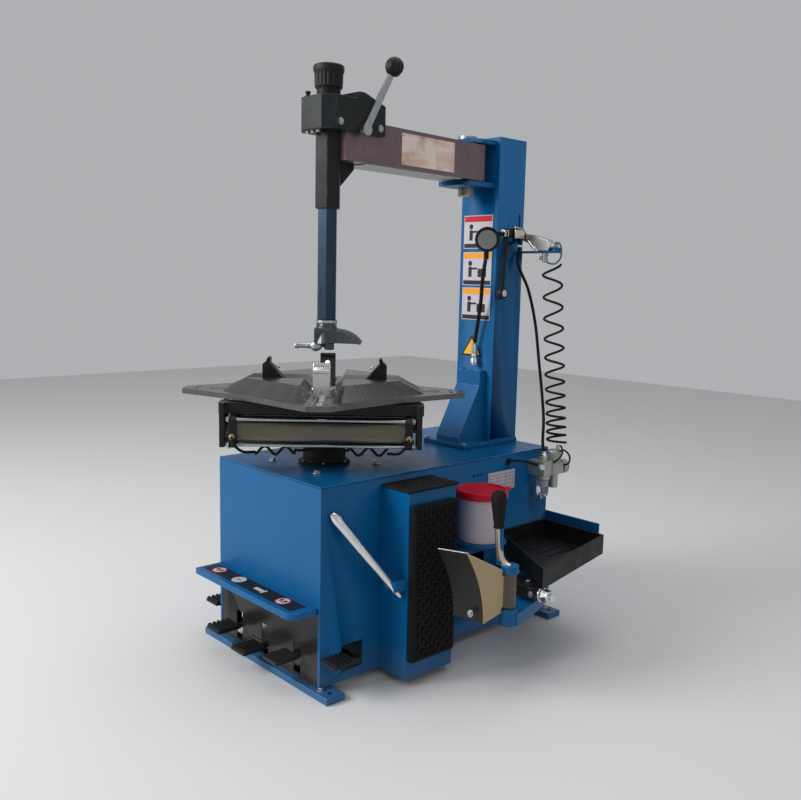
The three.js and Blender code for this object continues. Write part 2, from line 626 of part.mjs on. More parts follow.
// Bead breaker: ram in the cabinet, curved arm on the rear hinge, blade on the arm's front end.
function addBreaker() {
  const { y, z, hingeX, radius, front, rod } = ram;
  const barrel = cut(
    join(
      rodX(y, z, hingeX + 26, front, radius, 28),
      box(hingeX, hingeX + 27, y - 14, y + 14, z - 22, z + 22),
      rodZ(hingeX, y, z - 22, z + 22, 14, 20),
    ),
    rodX(y, z, hingeX + 60, front + 1, rod + 1, 20),
  );
  add("breaker_cylinder", barrel, tubeMetal);
  // The block clamped on the rod has a pocket below, where the arm's pin sits with clearance.
  const swivelX = 424;
  const piston = cut(
    join(
      rodX(y, z, front - 130, 478, rod, 20),
      box(swivelX - 34, swivelX + 38, y - 20, y + 20, z - 15, z + 15),
      rodX(y, z, 466, 490, 15, 6),
      rodX(y, z, 489, 497, rod - 1, 12),
    ),
    rodZ(swivelX, y, z - 16, z - 4, 15, 20),
  );
  add("breaker_rod", piston, chrome);

  const level = { bottom: 158, top: 186 };
  const b = breakerHinge;
  const centre = new THREE.CatmullRomCurve3([
    new THREE.Vector3(b.x, b.y, 0), new THREE.Vector3(b.x + 78, b.y - 82, 0),
    new THREE.Vector3(404, y + 60, 0), new THREE.Vector3(430, y - 10, 0),
    new THREE.Vector3(armFront.x - 4, armFront.y + 24, 0), new THREE.Vector3(armFront.x, armFront.y, 0),
  ]);
  const left = [];
  const right = [];
  for (let i = 0; i <= 10; i++) {
    const p = centre.getPoint(i / 10);
    const t = centre.getTangent(i / 10);
    left.push([p.x - t.y * 22, p.y + t.x * 22]);
    right.unshift([p.x + t.y * 22, p.y - t.x * 22]);
  }
  const bar = plateXY([...left, ...right], level.bottom, level.top);
  const swivelPin = rodZ(swivelX, y, level.top - 1, z - 6, 8, 16);
  const post = rodZ(armFront.x, armFront.y, level.bottom, 292, 20, 24);
  const hingeBoss = rodZ(b.x, b.y, 124 + GAP, 192 - GAP, 26, 24);
  const hingePin = rodZ(b.x, b.y, 104, 212, 10, 20);
  const handle = join(
    rodBetween([armFront.x, armFront.y, 286], [armFront.x - 24, armFront.y - 6, 296], 7, 12),
    rodBetween([armFront.x - 24, armFront.y - 6, 290], [armFront.x - 26, armFront.y - 8, 384], 8, 14),
  );
  const notch = rodZ(armFront.x, armFront.y, 196, 276, 21, 24);
  const hingeStub = rodZ(armFront.x, armFront.y, 190, 280, 9, 16);
  const armSolid = join(cut(join(bar, swivelPin, post), notch), hingeBoss, hingePin, hingeStub, handle);
  add("breaker_arm", armSolid, bluePaint);
  add("handle_grip",
    cut(
      rodBetween([armFront.x - 25.6, armFront.y - 7.6, 372], [armFront.x - 27.4, armFront.y - 9.4, 455], 13, 16, 17),
      rodBetween([armFront.x - 24, armFront.y - 6, 290], [armFront.x - 26.02, armFront.y - 8.02, 385], 8.4, 14),
    ),
    rubber);

  // Blade: a curved front that leans forward at the top, and a side web back to the hinge knuckle.
  const { tipX, outerX, bottom, top, frontY, lean, thickness } = blade;
  const curve = (h) => frontY - lean * ((h - bottom) / (top - bottom)) ** 2;
  const face = (offset) => (u, v) => {
    const h = bottom + (top - 6 * (1 - u) - bottom) * v;
    return [tipX + (outerX - tipX) * u, curve(h) - 16 * (1 - u) + offset, h];
  };
  const apron = curvedPlate(face(0), face(thickness), 4, 8);
  const steps = [0, 1, 2, 3, 4, 5, 6, 7, 8].map((i) => bottom + ((top - bottom) * i) / 8);
  const stop = armFront.y - 24;
  const webOutline = [
    ...steps.map((h) => [curve(h) + 1, h]), [stop, 286], [stop, 272], [armFront.y, 272],
    [armFront.y, 200], [stop, 200], [stop, 188],
  ];
  const web = plateYZ(webOutline, outerX - thickness, outerX);
  const knuckle = rodZ(armFront.x, armFront.y, 196 + GAP, 276 - GAP, 16, 24);
  const bladeSolid = cut(join(apron, web, knuckle), rodZ(armFront.x, armFront.y, 190, 280, 9.5, 16));
  add("breaker_blade", bladeSolid, tanPaint);
}

// Foot pedals: a steel arm out of the cabinet with a treaded pad.
function addPedals() {
  const pedal = (name, x, padZ, ribs) => {
    const arms = plateYZ(
      [[FRONT + 110, 50], [FRONT + 110, 62], [FRONT - 12, padZ - 2], [FRONT - 62, padZ - 2],
        [FRONT - 62, padZ - 10], [FRONT - 14, padZ - 10]],
      x - 6, x + 6,
    );
    let tread = join(box(x - 27, x + 27, FRONT - 74, FRONT - 12, padZ - 3, padZ + 5), arms,
      rodX(FRONT + 110, 56, x - 10, x + 10, 12, 16));
    for (let i = 0; i < ribs; i++) {
      const y = FRONT - 71 + i * 12;
      tread = join(tread, box(x - 27, x + 27, y, y + 6, padZ + 4, padZ + 9));
    }
    add(name, tread, ribs ? blackPlastic : darkSteel);
  };
  pedal("rotation_pedal", -118, 66, 5);
  pedal("clamp_pedal", -9, 50, 5);
  pedal("tilt_pedal", 120, 72, 0);

  for (const side of [-1, 1]) {
    const inner = cabinet.half + 6;
    const x = (v) => side * v;
    const span = (a, b) => (side > 0 ? [a, b] : [-b, -a]);
    const reach = plateYZ(
      [[FRONT + 98, 58], [FRONT + 98, 70], [FRONT + 40, 82], [FRONT + 10, 82], [FRONT + 10, 74],
        [FRONT + 36, 74]],
      ...span(inner + 8, inner + 20),
    );
    const shaft = rodX(FRONT + 92, 64, x(cabinet.half - 40), x(inner + 20), 8, 16);
    let tread = join(box(...span(inner + 4, inner + 54), FRONT - 6, FRONT + 56, 80, 87), reach, shaft);
    for (let i = 0; i < 5; i++) {
      const y = FRONT - 3 + i * 12;
      tread = join(tread, box(...span(inner + 4, inner + 54), y, y + 6, 86, 91));
    }
    add(side > 0 ? "breaker_pedal_right" : "breaker_pedal_left", tread, blackPlastic);
  }
}

// Accessories on the right side: tray on its bracket, bucket with lid, tire lever.
function addAccessories() {
  const { bottom, top, wall } = tray;
  const x0 = cabinet.half + 8;
  const rearY = FRONT + 748;
  const outline = (d) => [
    [x0 + d, FRONT + 568 + d * 0.6], [476 - d * 1.2, FRONT + 416 + d * 1.8], [408 - d, rearY - d],
    [x0 + d, rearY - d],
  ];
  add("tool_tray",
    cut(plateXY(outline(0), bottom, top), plateXY(outline(wall), bottom + wall, top + 1)), blackPlastic);
  const rear = FRONT + cabinet.depth + GAP;
  const flange = join(
    box(cabinet.half - 60, cabinet.half + 172, rear, rear + 5, 236, 290),
    box(cabinet.half + 12, cabinet.half + 165, rearY + GAP, rear + 1, 236, 242),
  );
  add("tray_bracket", flange, bluePaint);

  const b = bucket;
  const cup = cut(rodZ(b.x, b.y, b.bottom, b.top, b.radius, 32),
    rodZ(b.x, b.y, b.bottom + 2, b.top + 1, b.radius - 2, 32));
  add("bucket", cup, whitePlastic);
  const lid = cut(
    join(rodZ(b.x, b.y, b.top - 12, b.top + 6, b.radius + 6, 32),
      box(b.x + 18, b.x + 34, b.y + 50, b.y + 70, b.top - 10, b.top + 6)),
    rodZ(b.x, b.y, b.top - 13, b.top + GAP, b.radius + GAP, 32),
    rodZ(b.x, b.y, b.top + 3, b.top + 7, b.radius - 2, 32),
  );
  add("bucket_lid", lid, redPlastic);

  const along = (t) => lever.high.map((v, i) => v + (lever.low[i] - v) * t);
  const bar = join(
    rodBetween(along(-0.02), along(0.94), 12.5, 14, 8.5),
    rodBetween(along(-0.1), along(-0.015), 8, 14, 12.5),
    rodBetween(along(0.93), along(1.08), 8.5, 12, 5),
  );
  add("tire_lever", bar, chrome);
}

// Air preparation unit on the rear right corner.
function addAirUnit() {
  const { x, filterY, regulatorY, z } = airUnit;
  const block = join(
    box(cabinet.half + GAP, x + 16, filterY - 18, filterY + 18, z - 24, z + 14),
    box(x - 18, x + 18, filterY + 17, regulatorY + 18, z - 24, z + 6),
    rodZ(x, filterY, z + 13, z + 26, 11, 16),
    rodZ(x, regulatorY, z - 62, z - 23, 12, 16),
    rodY(x, z - 10, regulatorY + 17, regulatorY + 26, 9, 16),
    rodY(x, z - 10, regulatorY + 25, regulatorY + 44, 19, 24),
  );
  add("air_unit_body", block, greyAlloy);
  const bowl = join(rodZ(x, filterY, z - 78, z - 24 - GAP, 16, 20), rodZ(x, filterY, z - 88, z - 77, 6, 12));
  add("filter_bowl", bowl, clearPlastic);
  const knobBottom = z + 6 + GAP;
  add("regulator_knob", rodZ(x, regulatorY, knobBottom, knobBottom + 34, 18, 24), greyAlloy);
}

// Inflator, blow gun and their hoses on the column's right side.
function addAirTools() {
  const wallX = column.x1;
  const gunY = column.y0 + 49;
  const gun = join(
    box(wallX + 4, wallX + 30, gunY - 30, gunY + 26, 1019, 1042),
    rodBetween([wallX + 14, gunY - 44, 1028], [wallX + 14, gunY - 24, 1028], 9, 14),
    rodBetween([wallX + 12, gunY - 28, 1024], [wallX + 12, gunY - 38, 876], 6, 12),
    rodBetween([wallX + 6, gunY - 38, 874], [wallX + 22, gunY - 38, 874], 15, 18),
    rodZ(wallX + 20, gunY + 20, 1000, 1020, 6, 12),
  );
  add("inflator_gun", gun, blackPlastic);
  const dialFrom = [wallX - 8, gunY - 78, 1013];
  const dialTo = [wallX + 10, gunY - 98, 1010];
  const gauge = join(
    rodBetween(dialFrom, dialTo, 32, 28),
    rodBetween([wallX + 13.5, gunY - 47, 1027], [wallX + 3, gunY - 82, 1018], 7, 12),
    rodBetween([wallX - 2, gunY - 86, 992], [wallX - 4, gunY - 84, 960], 6, 12),
  );
  add("inflator_gauge", gauge, rubber);
  add("inflator_trigger",
    box(wallX + 35, wallX + 40, gunY - 22, gunY + 14, 1016, 1038), chrome);

  const y = column.y1 - 14;
  const z = shelf.z + GAP;
  const gunOutline = [
    [12, 30], [20, 46], [60, 41], [104, 28], [112, 14], [106, 0], [74, 0], [62, 12], [30, 24],
  ].map(([dx, dz]) => [wallX + dx, z + dz]);
  const blow = join(
    plateXZ(gunOutline, y - 11, y + 11),
    rodBetween([wallX + 100, y, z + 14], [wallX + 124, y, z + 14], 10, 14),
    rodBetween([wallX + 26, y, z + 34], [wallX + 8, y - 2, z + 46], 9, 12, 6),
  );
  add("blow_gun", blow, greyAlloy);
}

// Hoses. The coiled hose is drawn as its outer cylinder.
function addHoses() {
  const coilTop = [196, column.y1 + 12, 958];
  const coilBottom = [airUnit.x, airUnit.regulatorY + 8, 476];
  add("coil_hose", rodBetween(coilTop, coilBottom, 28, 12), rubber);
  const supply = [
    [124, column.y0 + 69, 998.5], [125, column.y0 + 61, 958], [144, column.y1 - 18, 885],
    [157, column.y1, 800], [172, column.y1 + 6, 690], [190, column.y1 + 5, 590],
    [202, column.y1 - 2, 535], [214, column.y1 - 17, 482], [229, column.y1 - 24, 437],
  ];
  add("supply_hose", pipe(supply, 4, 8, 30), rubber);
  const chuckHose = [
    [99, column.y0 - 36, 959], [92, column.y0 - 36, 920], [78, column.y0 - 26, 850],
    [62, column.y0 - 18, 790], [50, column.y0 - 14, 742],
  ];
  add("gauge_hose", pipe(chuckHose, 5, 8, 12), rubber);
  const chuck = join(
    rodBetween([49.6, column.y0 - 14, 739], [46, column.y0 - 14, 700], 7, 14),
    rodBetween([46, column.y0 - 14, 702], [52, column.y0 - 15, 684], 11, 14),
  );
  add("air_chuck", chuck, chrome);
}

addSkids();
addCabinet();
addPadBox();
addColumn();
addSwingArm();
addMast();
addLockLever();
addTurntable();
addJaws();
addDrive();
addBreaker();
addPedals();
addAccessories();
addAirUnit();
addAirTools();
addHoses();

export default machine;
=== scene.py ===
"""Looks of a swing-arm tire changer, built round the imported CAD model."""
import json
import math

import bmesh
import bpy
from mathutils import Matrix, Vector


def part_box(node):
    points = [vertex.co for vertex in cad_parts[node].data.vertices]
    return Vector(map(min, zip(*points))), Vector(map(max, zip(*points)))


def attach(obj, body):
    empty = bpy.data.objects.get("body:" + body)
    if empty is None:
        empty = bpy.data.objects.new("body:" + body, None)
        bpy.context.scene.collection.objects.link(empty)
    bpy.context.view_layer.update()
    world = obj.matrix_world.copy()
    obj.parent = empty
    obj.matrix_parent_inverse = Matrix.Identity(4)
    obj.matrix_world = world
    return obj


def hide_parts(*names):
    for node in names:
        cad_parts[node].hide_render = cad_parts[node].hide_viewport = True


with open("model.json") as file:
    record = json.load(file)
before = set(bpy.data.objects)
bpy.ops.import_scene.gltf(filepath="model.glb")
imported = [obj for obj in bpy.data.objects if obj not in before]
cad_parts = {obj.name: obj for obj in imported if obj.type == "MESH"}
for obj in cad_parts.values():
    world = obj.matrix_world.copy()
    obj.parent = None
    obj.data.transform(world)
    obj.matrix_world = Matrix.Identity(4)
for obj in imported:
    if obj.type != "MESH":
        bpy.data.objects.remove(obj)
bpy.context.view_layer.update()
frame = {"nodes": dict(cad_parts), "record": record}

MM = 0.001
RECORD = frame["record"]
BODY_OF = {node: body for body, nodes in RECORD["behaviour"]["bodies"].items() for node in nodes}
SLOT_OF = {part["node"]: part["material_slot"] for part in RECORD["subparts"]}


def corners(node):
    """The lowest and highest corners of a CAD node, in millimetres."""
    low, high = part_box(node)
    return low / MM, high / MM


def middle(node):
    low, high = corners(node)
    return (low + high) / 2


# ---------- camera ----------
def add_camera():
    data = bpy.data.cameras.new("camera")
    data.sensor_width = 36
    data.lens = 39.13
    camera = bpy.data.objects.new("camera", data)
    bpy.context.scene.collection.objects.link(camera)
    yaw, pitch, roll = math.radians(47.479), math.radians(7.887), math.radians(1.217)
    ahead = Vector((-math.sin(yaw) * math.cos(pitch), math.cos(yaw) * math.cos(pitch), -math.sin(pitch)))
    level = Vector((math.cos(yaw), math.sin(yaw), 0))
    upright = level.cross(ahead)
    right = math.cos(roll) * level + math.sin(roll) * upright
    up = -math.sin(roll) * level + math.cos(roll) * upright
    turn = Matrix((right, up, -ahead)).transposed().to_4x4()
    camera.matrix_world = Matrix.Translation((1.637, -1.0994, 0.9046)) @ turn
    bpy.context.scene.camera = camera


# ---------- procedural materials ----------
class Look:
    """A Principled material whose colour, roughness and bump come from procedural nodes."""

    def __init__(self, name, color, roughness, metallic=0.0, **sockets):
        self.material = bpy.data.materials.new(name)
        self.material.use_nodes = True
        self.nodes = self.material.node_tree.nodes
        self.links = self.material.node_tree.links
        self.shader = self.nodes["Principled BSDF"]
        self.shader.inputs["Base Color"].default_value = (*color, 1)
        self.shader.inputs["Roughness"].default_value = roughness
        self.shader.inputs["Metallic"].default_value = metallic
        for socket, value in sockets.items():
            self.shader.inputs[socket.replace("_", " ")].default_value = value
        self.color = (*color, 1)
        self.normal = None
        self.coords = self.nodes.new("ShaderNodeTexCoord").outputs["Object"]

    def node(self, kind, inputs=(), **settings):
        made = self.nodes.new("ShaderNode" + kind)
        for key, value in settings.items():
            setattr(made, key, value)
        for key, value in dict(inputs).items():
            if isinstance(value, bpy.types.NodeSocket):
                self.links.new(value, made.inputs[key])
            else:
                made.inputs[key].default_value = value
        return made

    def mapped(self, stretch):
        return self.node("Mapping", {"Vector": self.coords, "Scale": stretch}).outputs["Vector"]

    def noise(self, scale, detail=4.0, roughness=0.5, coords=None):
        inputs = {"Vector": coords or self.coords, "Scale": scale, "Detail": detail, "Roughness": roughness}
        return self.node("TexNoise", inputs).outputs["Fac"]

    def fade(self, value, low, high, to=(0.0, 1.0)):
        """value mapped from low..high to the range to, and held there."""
        inputs = {"Value": value, "From Min": low, "From Max": high, "To Min": to[0], "To Max": to[1]}
        return self.node("MapRange", inputs).outputs["Result"]

    def math(self, operation, a, b=0.0):
        return self.node("Math", {0: a, 1: b}, operation=operation).outputs[0]

    def tint(self, factor, color):
        """Mixes the colour towards another one where factor is high."""
        mix = self.node("Mix", {"Factor": factor}, data_type="RGBA")
        for socket, value in ((mix.inputs[6], self.color), (mix.inputs[7], (*color, 1))):
            if isinstance(value, bpy.types.NodeSocket):
                self.links.new(value, socket)
            else:
                socket.default_value = value
        self.color = mix.outputs[2]
        self.links.new(self.color, self.shader.inputs["Base Color"])
        return self

    def rough(self, factor, low, high):
        self.links.new(self.fade(factor, 0.3, 0.7, (low, high)), self.shader.inputs["Roughness"])
        return self

    def bump(self, height, strength, distance=0.001):
        inputs = {"Height": height, "Strength": strength, "Distance": distance}
        if self.normal:
            inputs["Normal"] = self.normal
        self.normal = self.node("Bump", inputs).outputs["Normal"]
        self.links.new(self.normal, self.shader.inputs["Normal"])
        return self

    def edges(self):
        """High on rounded outer edges, broken up by noise."""
        rounded = self.node("Attribute", attribute_name="worn").outputs["Fac"]
        return self.math("MULTIPLY", rounded, self.fade(self.noise(55, 5, 0.6), 0.46, 0.66))

    def height(self):
        return self.node("SeparateXYZ", {"Vector": self.coords}).outputs["Z"]


def painted(name, color, roughness, deep, worn, speckle=0.35, coat=0.25):
    """Powder coat: cloudy shade, orange peel, dull scuffs, dust low down and thin edges."""
    look = Look(name, color, roughness, Coat_Weight=coat, Coat_Roughness=0.2, Specular_IOR_Level=0.22)
    look.tint(look.fade(look.noise(3, 2), 0.35, 0.7, (0, 0.35)), deep)
    scuffs = look.noise(46, 6, 0.6)
    look.tint(look.fade(scuffs, 0.68, 0.76, (0, speckle)), [0.6 * c + 0.08 for c in color])
    look.tint(look.fade(look.height(), 0.10, 0.0, (0, 0.15)), (0.24, 0.22, 0.19))
    look.tint(look.math("MULTIPLY", look.edges(), 0.6), worn)
    look.rough(scuffs, roughness - 0.05, roughness + 0.08)
    look.bump(look.noise(900, 2), 0.10, 0.0004)
    return look


def brushed(name, color, roughness, stretch, grain=1.0, dark=(0.12, 0.12, 0.13)):
    """Worked metal: fine streaks along the stretched direction, and cloudy stains."""
    look = Look(name, color, roughness, 1.0)
    streaks = look.noise(60, 5, 0.6, look.mapped(stretch))
    look.tint(look.fade(streaks, 0.35, 0.7, (0, 0.45 * grain)), dark)
    look.tint(look.fade(look.noise(9, 5, 0.6), 0.55, 0.75, (0, 0.35)), [0.45 * c for c in color])
    look.rough(streaks, roughness - 0.08, roughness + 0.14)
    look.bump(streaks, 0.12 * grain, 0.0005)
    return look


def turned_table():
    """Polished table steel with streaks that run out from its centre; the lighter streaks are a painted
    highlight.
    """
    look = Look("table_steel", (0.175, 0.180, 0.165), 0.26, 1.0)
    centre = middle("turntable_plate") * MM
    offset = look.node("VectorMath", {0: look.coords, 1: tuple(centre)}, operation="SUBTRACT").outputs[0]
    angle = look.node("TexGradient", {"Vector": offset}, gradient_type="RADIAL").outputs["Fac"]
    spoke = look.node("CombineXYZ", {"X": angle}).outputs[0]
    streaks = look.noise(170, 5, 0.7, spoke)
    broad = look.noise(26, 3, 0.5, spoke)
    look.tint(look.fade(broad, 0.35, 0.7, (0, 0.4)), (0.085, 0.088, 0.078))
    # painted highlight: lighter radial streaks where the turned steel would catch the light
    look.tint(look.fade(streaks, 0.5, 0.75, (0, 0.12)), (0.34, 0.35, 0.36))
    look.tint(look.fade(look.noise(14, 6, 0.7), 0.56, 0.74, (0, 0.4)), (0.07, 0.062, 0.05))
    look.rough(streaks, 0.22, 0.32)
    look.bump(streaks, 0.03, 0.0005)
    return look


def moulded(name, color, roughness, grain=420.0, light=(0.2, 0.2, 0.2), depth=0.2, **sockets):
    """Moulded plastic or rubber: fine grain, pale rub marks, uneven gloss."""
    look = Look(name, color, roughness, Specular_IOR_Level=0.24, **sockets)
    cloud = look.noise(22, 5, 0.6)
    look.tint(look.fade(cloud, 0.56, 0.78, (0, 0.22)), light)
    look.tint(look.math("MULTIPLY", look.edges(), 0.5), light)
    look.rough(cloud, roughness - 0.08, roughness + 0.1)
    look.bump(look.noise(grain, 3), depth, 0.0005)
    return look


def cast(name, color, roughness, metallic, light):
    look = Look(name, color, roughness, metallic, Specular_IOR_Level=0.24)
    blotch = look.noise(28, 6, 0.65)
    look.tint(look.fade(blotch, 0.45, 0.75, (0, 0.55)), light)
    look.tint(look.edges(), [min(1, 1.8 * c) for c in light])
    look.rough(blotch, roughness - 0.08, roughness + 0.12)
    look.bump(look.noise(260, 5, 0.6), 0.22, 0.0006)
    return look


def arm_metallic():
    """Mauve-brown metallic enamel with a mottled sheen."""
    look = Look("arm_enamel", (0.155, 0.098, 0.112), 0.34, 0.55, Coat_Weight=0.5, Coat_Roughness=0.15)
    mottle = look.noise(46, 6, 0.7)
    look.tint(look.fade(mottle, 0.4, 0.68, (0, 0.45)), (0.24, 0.165, 0.175))
    look.tint(look.fade(look.noise(7, 3), 0.5, 0.8, (0, 0.5)), (0.07, 0.045, 0.055))
    look.tint(look.edges(), (0.45, 0.38, 0.36))
    look.rough(mottle, 0.26, 0.46)
    look.bump(look.noise(700, 3), 0.16, 0.0004)
    return look


def clear_bowl():
    look = Look("bowl_plastic", (0.86, 0.9, 0.9), 0.08, Transmission_Weight=0.9, IOR=1.46)
    look.tint(look.fade(look.noise(30, 4), 0.5, 0.8, (0, 0.3)), (0.7, 0.72, 0.66))
    look.rough(look.noise(60, 4), 0.05, 0.2)
    return look


def copper_plate():
    look = Look("plate_copper", (0.86, 0.58, 0.46), 0.22, 0.85)
    ripple = look.noise(11, 3, 0.5, look.mapped((1, 0.6, 3)))
    look.tint(look.fade(ripple, 0.42, 0.58), (0.95, 0.80, 0.72))
    look.tint(look.fade(look.noise(16, 5), 0.55, 0.72, (0, 0.6)), (0.34, 0.19, 0.13))
    look.rough(ripple, 0.14, 0.3)
    look.bump(ripple, 0.2, 0.001)
    return look


def blade_paint():
    """Cream outside; painted shade on the front faces turned away from +X, a painted highlight on the upward
    faces of the top edge, darker towards the rear knuckle.
    """
    look = painted("blade_tan", (0.40, 0.295, 0.165), 0.36, (0.30, 0.215, 0.115), (0.75, 0.70, 0.60), 0.5)
    normal = look.node("NewGeometry").outputs["Normal"]
    facing = look.node("SeparateXYZ", {"Vector": normal}).outputs
    # painted shade: faces that point less towards +X are darkened, as if in shadow
    shaded_side = look.math("ADD", facing["X"], look.math("MULTIPLY", look.noise(40, 5), 0.1))
    look.tint(look.fade(shaded_side, 0.80, 0.60), (0.009, 0.010, 0.008))
    # painted highlight: faces that point upwards are lightened along the top edge
    look.tint(look.fade(facing["Z"], 0.45, 0.75), (0.72, 0.70, 0.66))
    rear = look.node("SeparateXYZ", {"Vector": look.coords}).outputs["Y"]
    look.tint(look.fade(rear, 0.3005, 0.3025), (0.10, 0.085, 0.06))
    return look


BLUE = (0.0008, 0.098, 0.262)
LOOKS = {
    "blue_paint": painted("blue_powder_coat", BLUE, 0.34, (0.0006, 0.070, 0.205), (0.08, 0.24, 0.40), 0.2,
                          0.04),
    "black_paint": painted("black_enamel", (0.009, 0.010, 0.012), 0.40, (0.013, 0.013, 0.014),
                           (0.10, 0.095, 0.09), 0.2, 0.0),
    "arm_paint": arm_metallic(),
    "steel": brushed("machined_steel", (0.52, 0.53, 0.54), 0.30, (4, 4, 0.25)),
    "dark_steel": cast("dark_cast_steel", (0.075, 0.077, 0.082), 0.42, 0.8, (0.17, 0.17, 0.175)),
    "chrome": brushed("chrome_plate", (0.80, 0.80, 0.80), 0.16, (3, 3, 0.6), 0.5, (0.35, 0.33, 0.30)),
    "cylinder_tube": brushed("anodised_tube", (0.155, 0.143, 0.118), 0.36, (1, 1, 9), 0.8,
                             (0.095, 0.082, 0.062)),
    "rubber": moulded("black_rubber", (0.005, 0.005, 0.0055), 0.72, 300, (0.020, 0.020, 0.020), 0.35),
    "black_plastic": moulded("black_plastic", (0.009, 0.010, 0.012), 0.46, 520, (0.035, 0.036, 0.038), 0.2),
    "tan_paint": painted("tan_paint", (0.43, 0.34, 0.23), 0.38, (0.30, 0.23, 0.15), (0.75, 0.72, 0.65), 0.6),
    "white_plastic": moulded("white_plastic", (0.56, 0.50, 0.54), 0.42, 500, (0.5, 0.46, 0.5), 0.08,
                             Subsurface_Weight=0.1, Subsurface_Scale=0.01),
    "red_plastic": moulded("red_plastic", (0.52, 0.004, 0.020), 0.38, 500, (0.6, 0.08, 0.08), 0.08),
    "clear_plastic": clear_bowl(),
    "grey_alloy": cast("grey_alloy", (0.40, 0.41, 0.39), 0.40, 0.75, (0.55, 0.55, 0.53)),
    "motor_paint": painted("motor_paint", (0.06, 0.09, 0.11), 0.45, (0.04, 0.06, 0.08), (0.2, 0.2, 0.2), 0.3),
    "table_steel": turned_table(),
    "copper": copper_plate(),
    "yellow": moulded("yellow_vinyl", (0.80, 0.50, 0.02), 0.4, 600, (0.75, 0.6, 0.2), 0.05),
    "orange": moulded("orange_vinyl", (0.85, 0.33, 0.02), 0.4, 600, (0.8, 0.5, 0.2), 0.05),
    "brass": brushed("brass_fitting", (0.62, 0.47, 0.22), 0.28, (1, 1, 6), 0.6, (0.3, 0.2, 0.08)),
    "gloss_panel": painted("gloss_panel", (0.010, 0.010, 0.010), 0.24, (0.035, 0.026, 0.016),
                           (0.06, 0.06, 0.06), 0.15, 0.15),
    "neck_black": cast("neck_black", (0.008, 0.009, 0.010), 0.5, 0.2, (0.018, 0.018, 0.020)),
    "housing_black": cast("housing_black", (0.012, 0.015, 0.017), 0.42, 0.1, (0.022, 0.025, 0.027)),
    "shaft_steel": brushed("shaft_steel", (0.036, 0.056, 0.086), 0.34, (4, 4, 0.3), 0.6, (0.018, 0.025, 0.036)),
    "head_steel": cast("head_steel", (0.075, 0.082, 0.092), 0.34, 0.9, (0.13, 0.135, 0.145)),
    "jaw_black": cast("jaw_black", (0.014, 0.014, 0.015), 0.45, 0.4, (0.035, 0.035, 0.035)),
    "block_black": cast("block_black", (0.010, 0.010, 0.011), 0.4, 0.2, (0.03, 0.03, 0.03)),
    "cream_steel": brushed("cream_steel", (0.62, 0.56, 0.46), 0.36, (3, 3, 0.5), 0.5, (0.4, 0.34, 0.26)),
    "blade_paint": blade_paint(),
    "ink": moulded("ink", (0.02, 0.02, 0.025), 0.5, 500, (0.06, 0.06, 0.06), 0.05),
    "dial_grey": moulded("dial_grey", (0.16, 0.15, 0.165), 0.4, 400, (0.34, 0.15, 0.19), 0.05),
    "grey_line": moulded("grey_line", (0.10, 0.12, 0.14), 0.4, 400, (0.3, 0.3, 0.3), 0.1),
}


# ---------- mesh building, in millimetres ----------
def across(axis):
    """Two directions at right angles to an axis and each other."""
    axis = Vector(axis).normalized()
    side = Vector((0, 0, 1)) if abs(axis.z) < 0.9 else Vector((1, 0, 0))
    u = side.cross(axis).normalized()
    return axis, u, axis.cross(u)


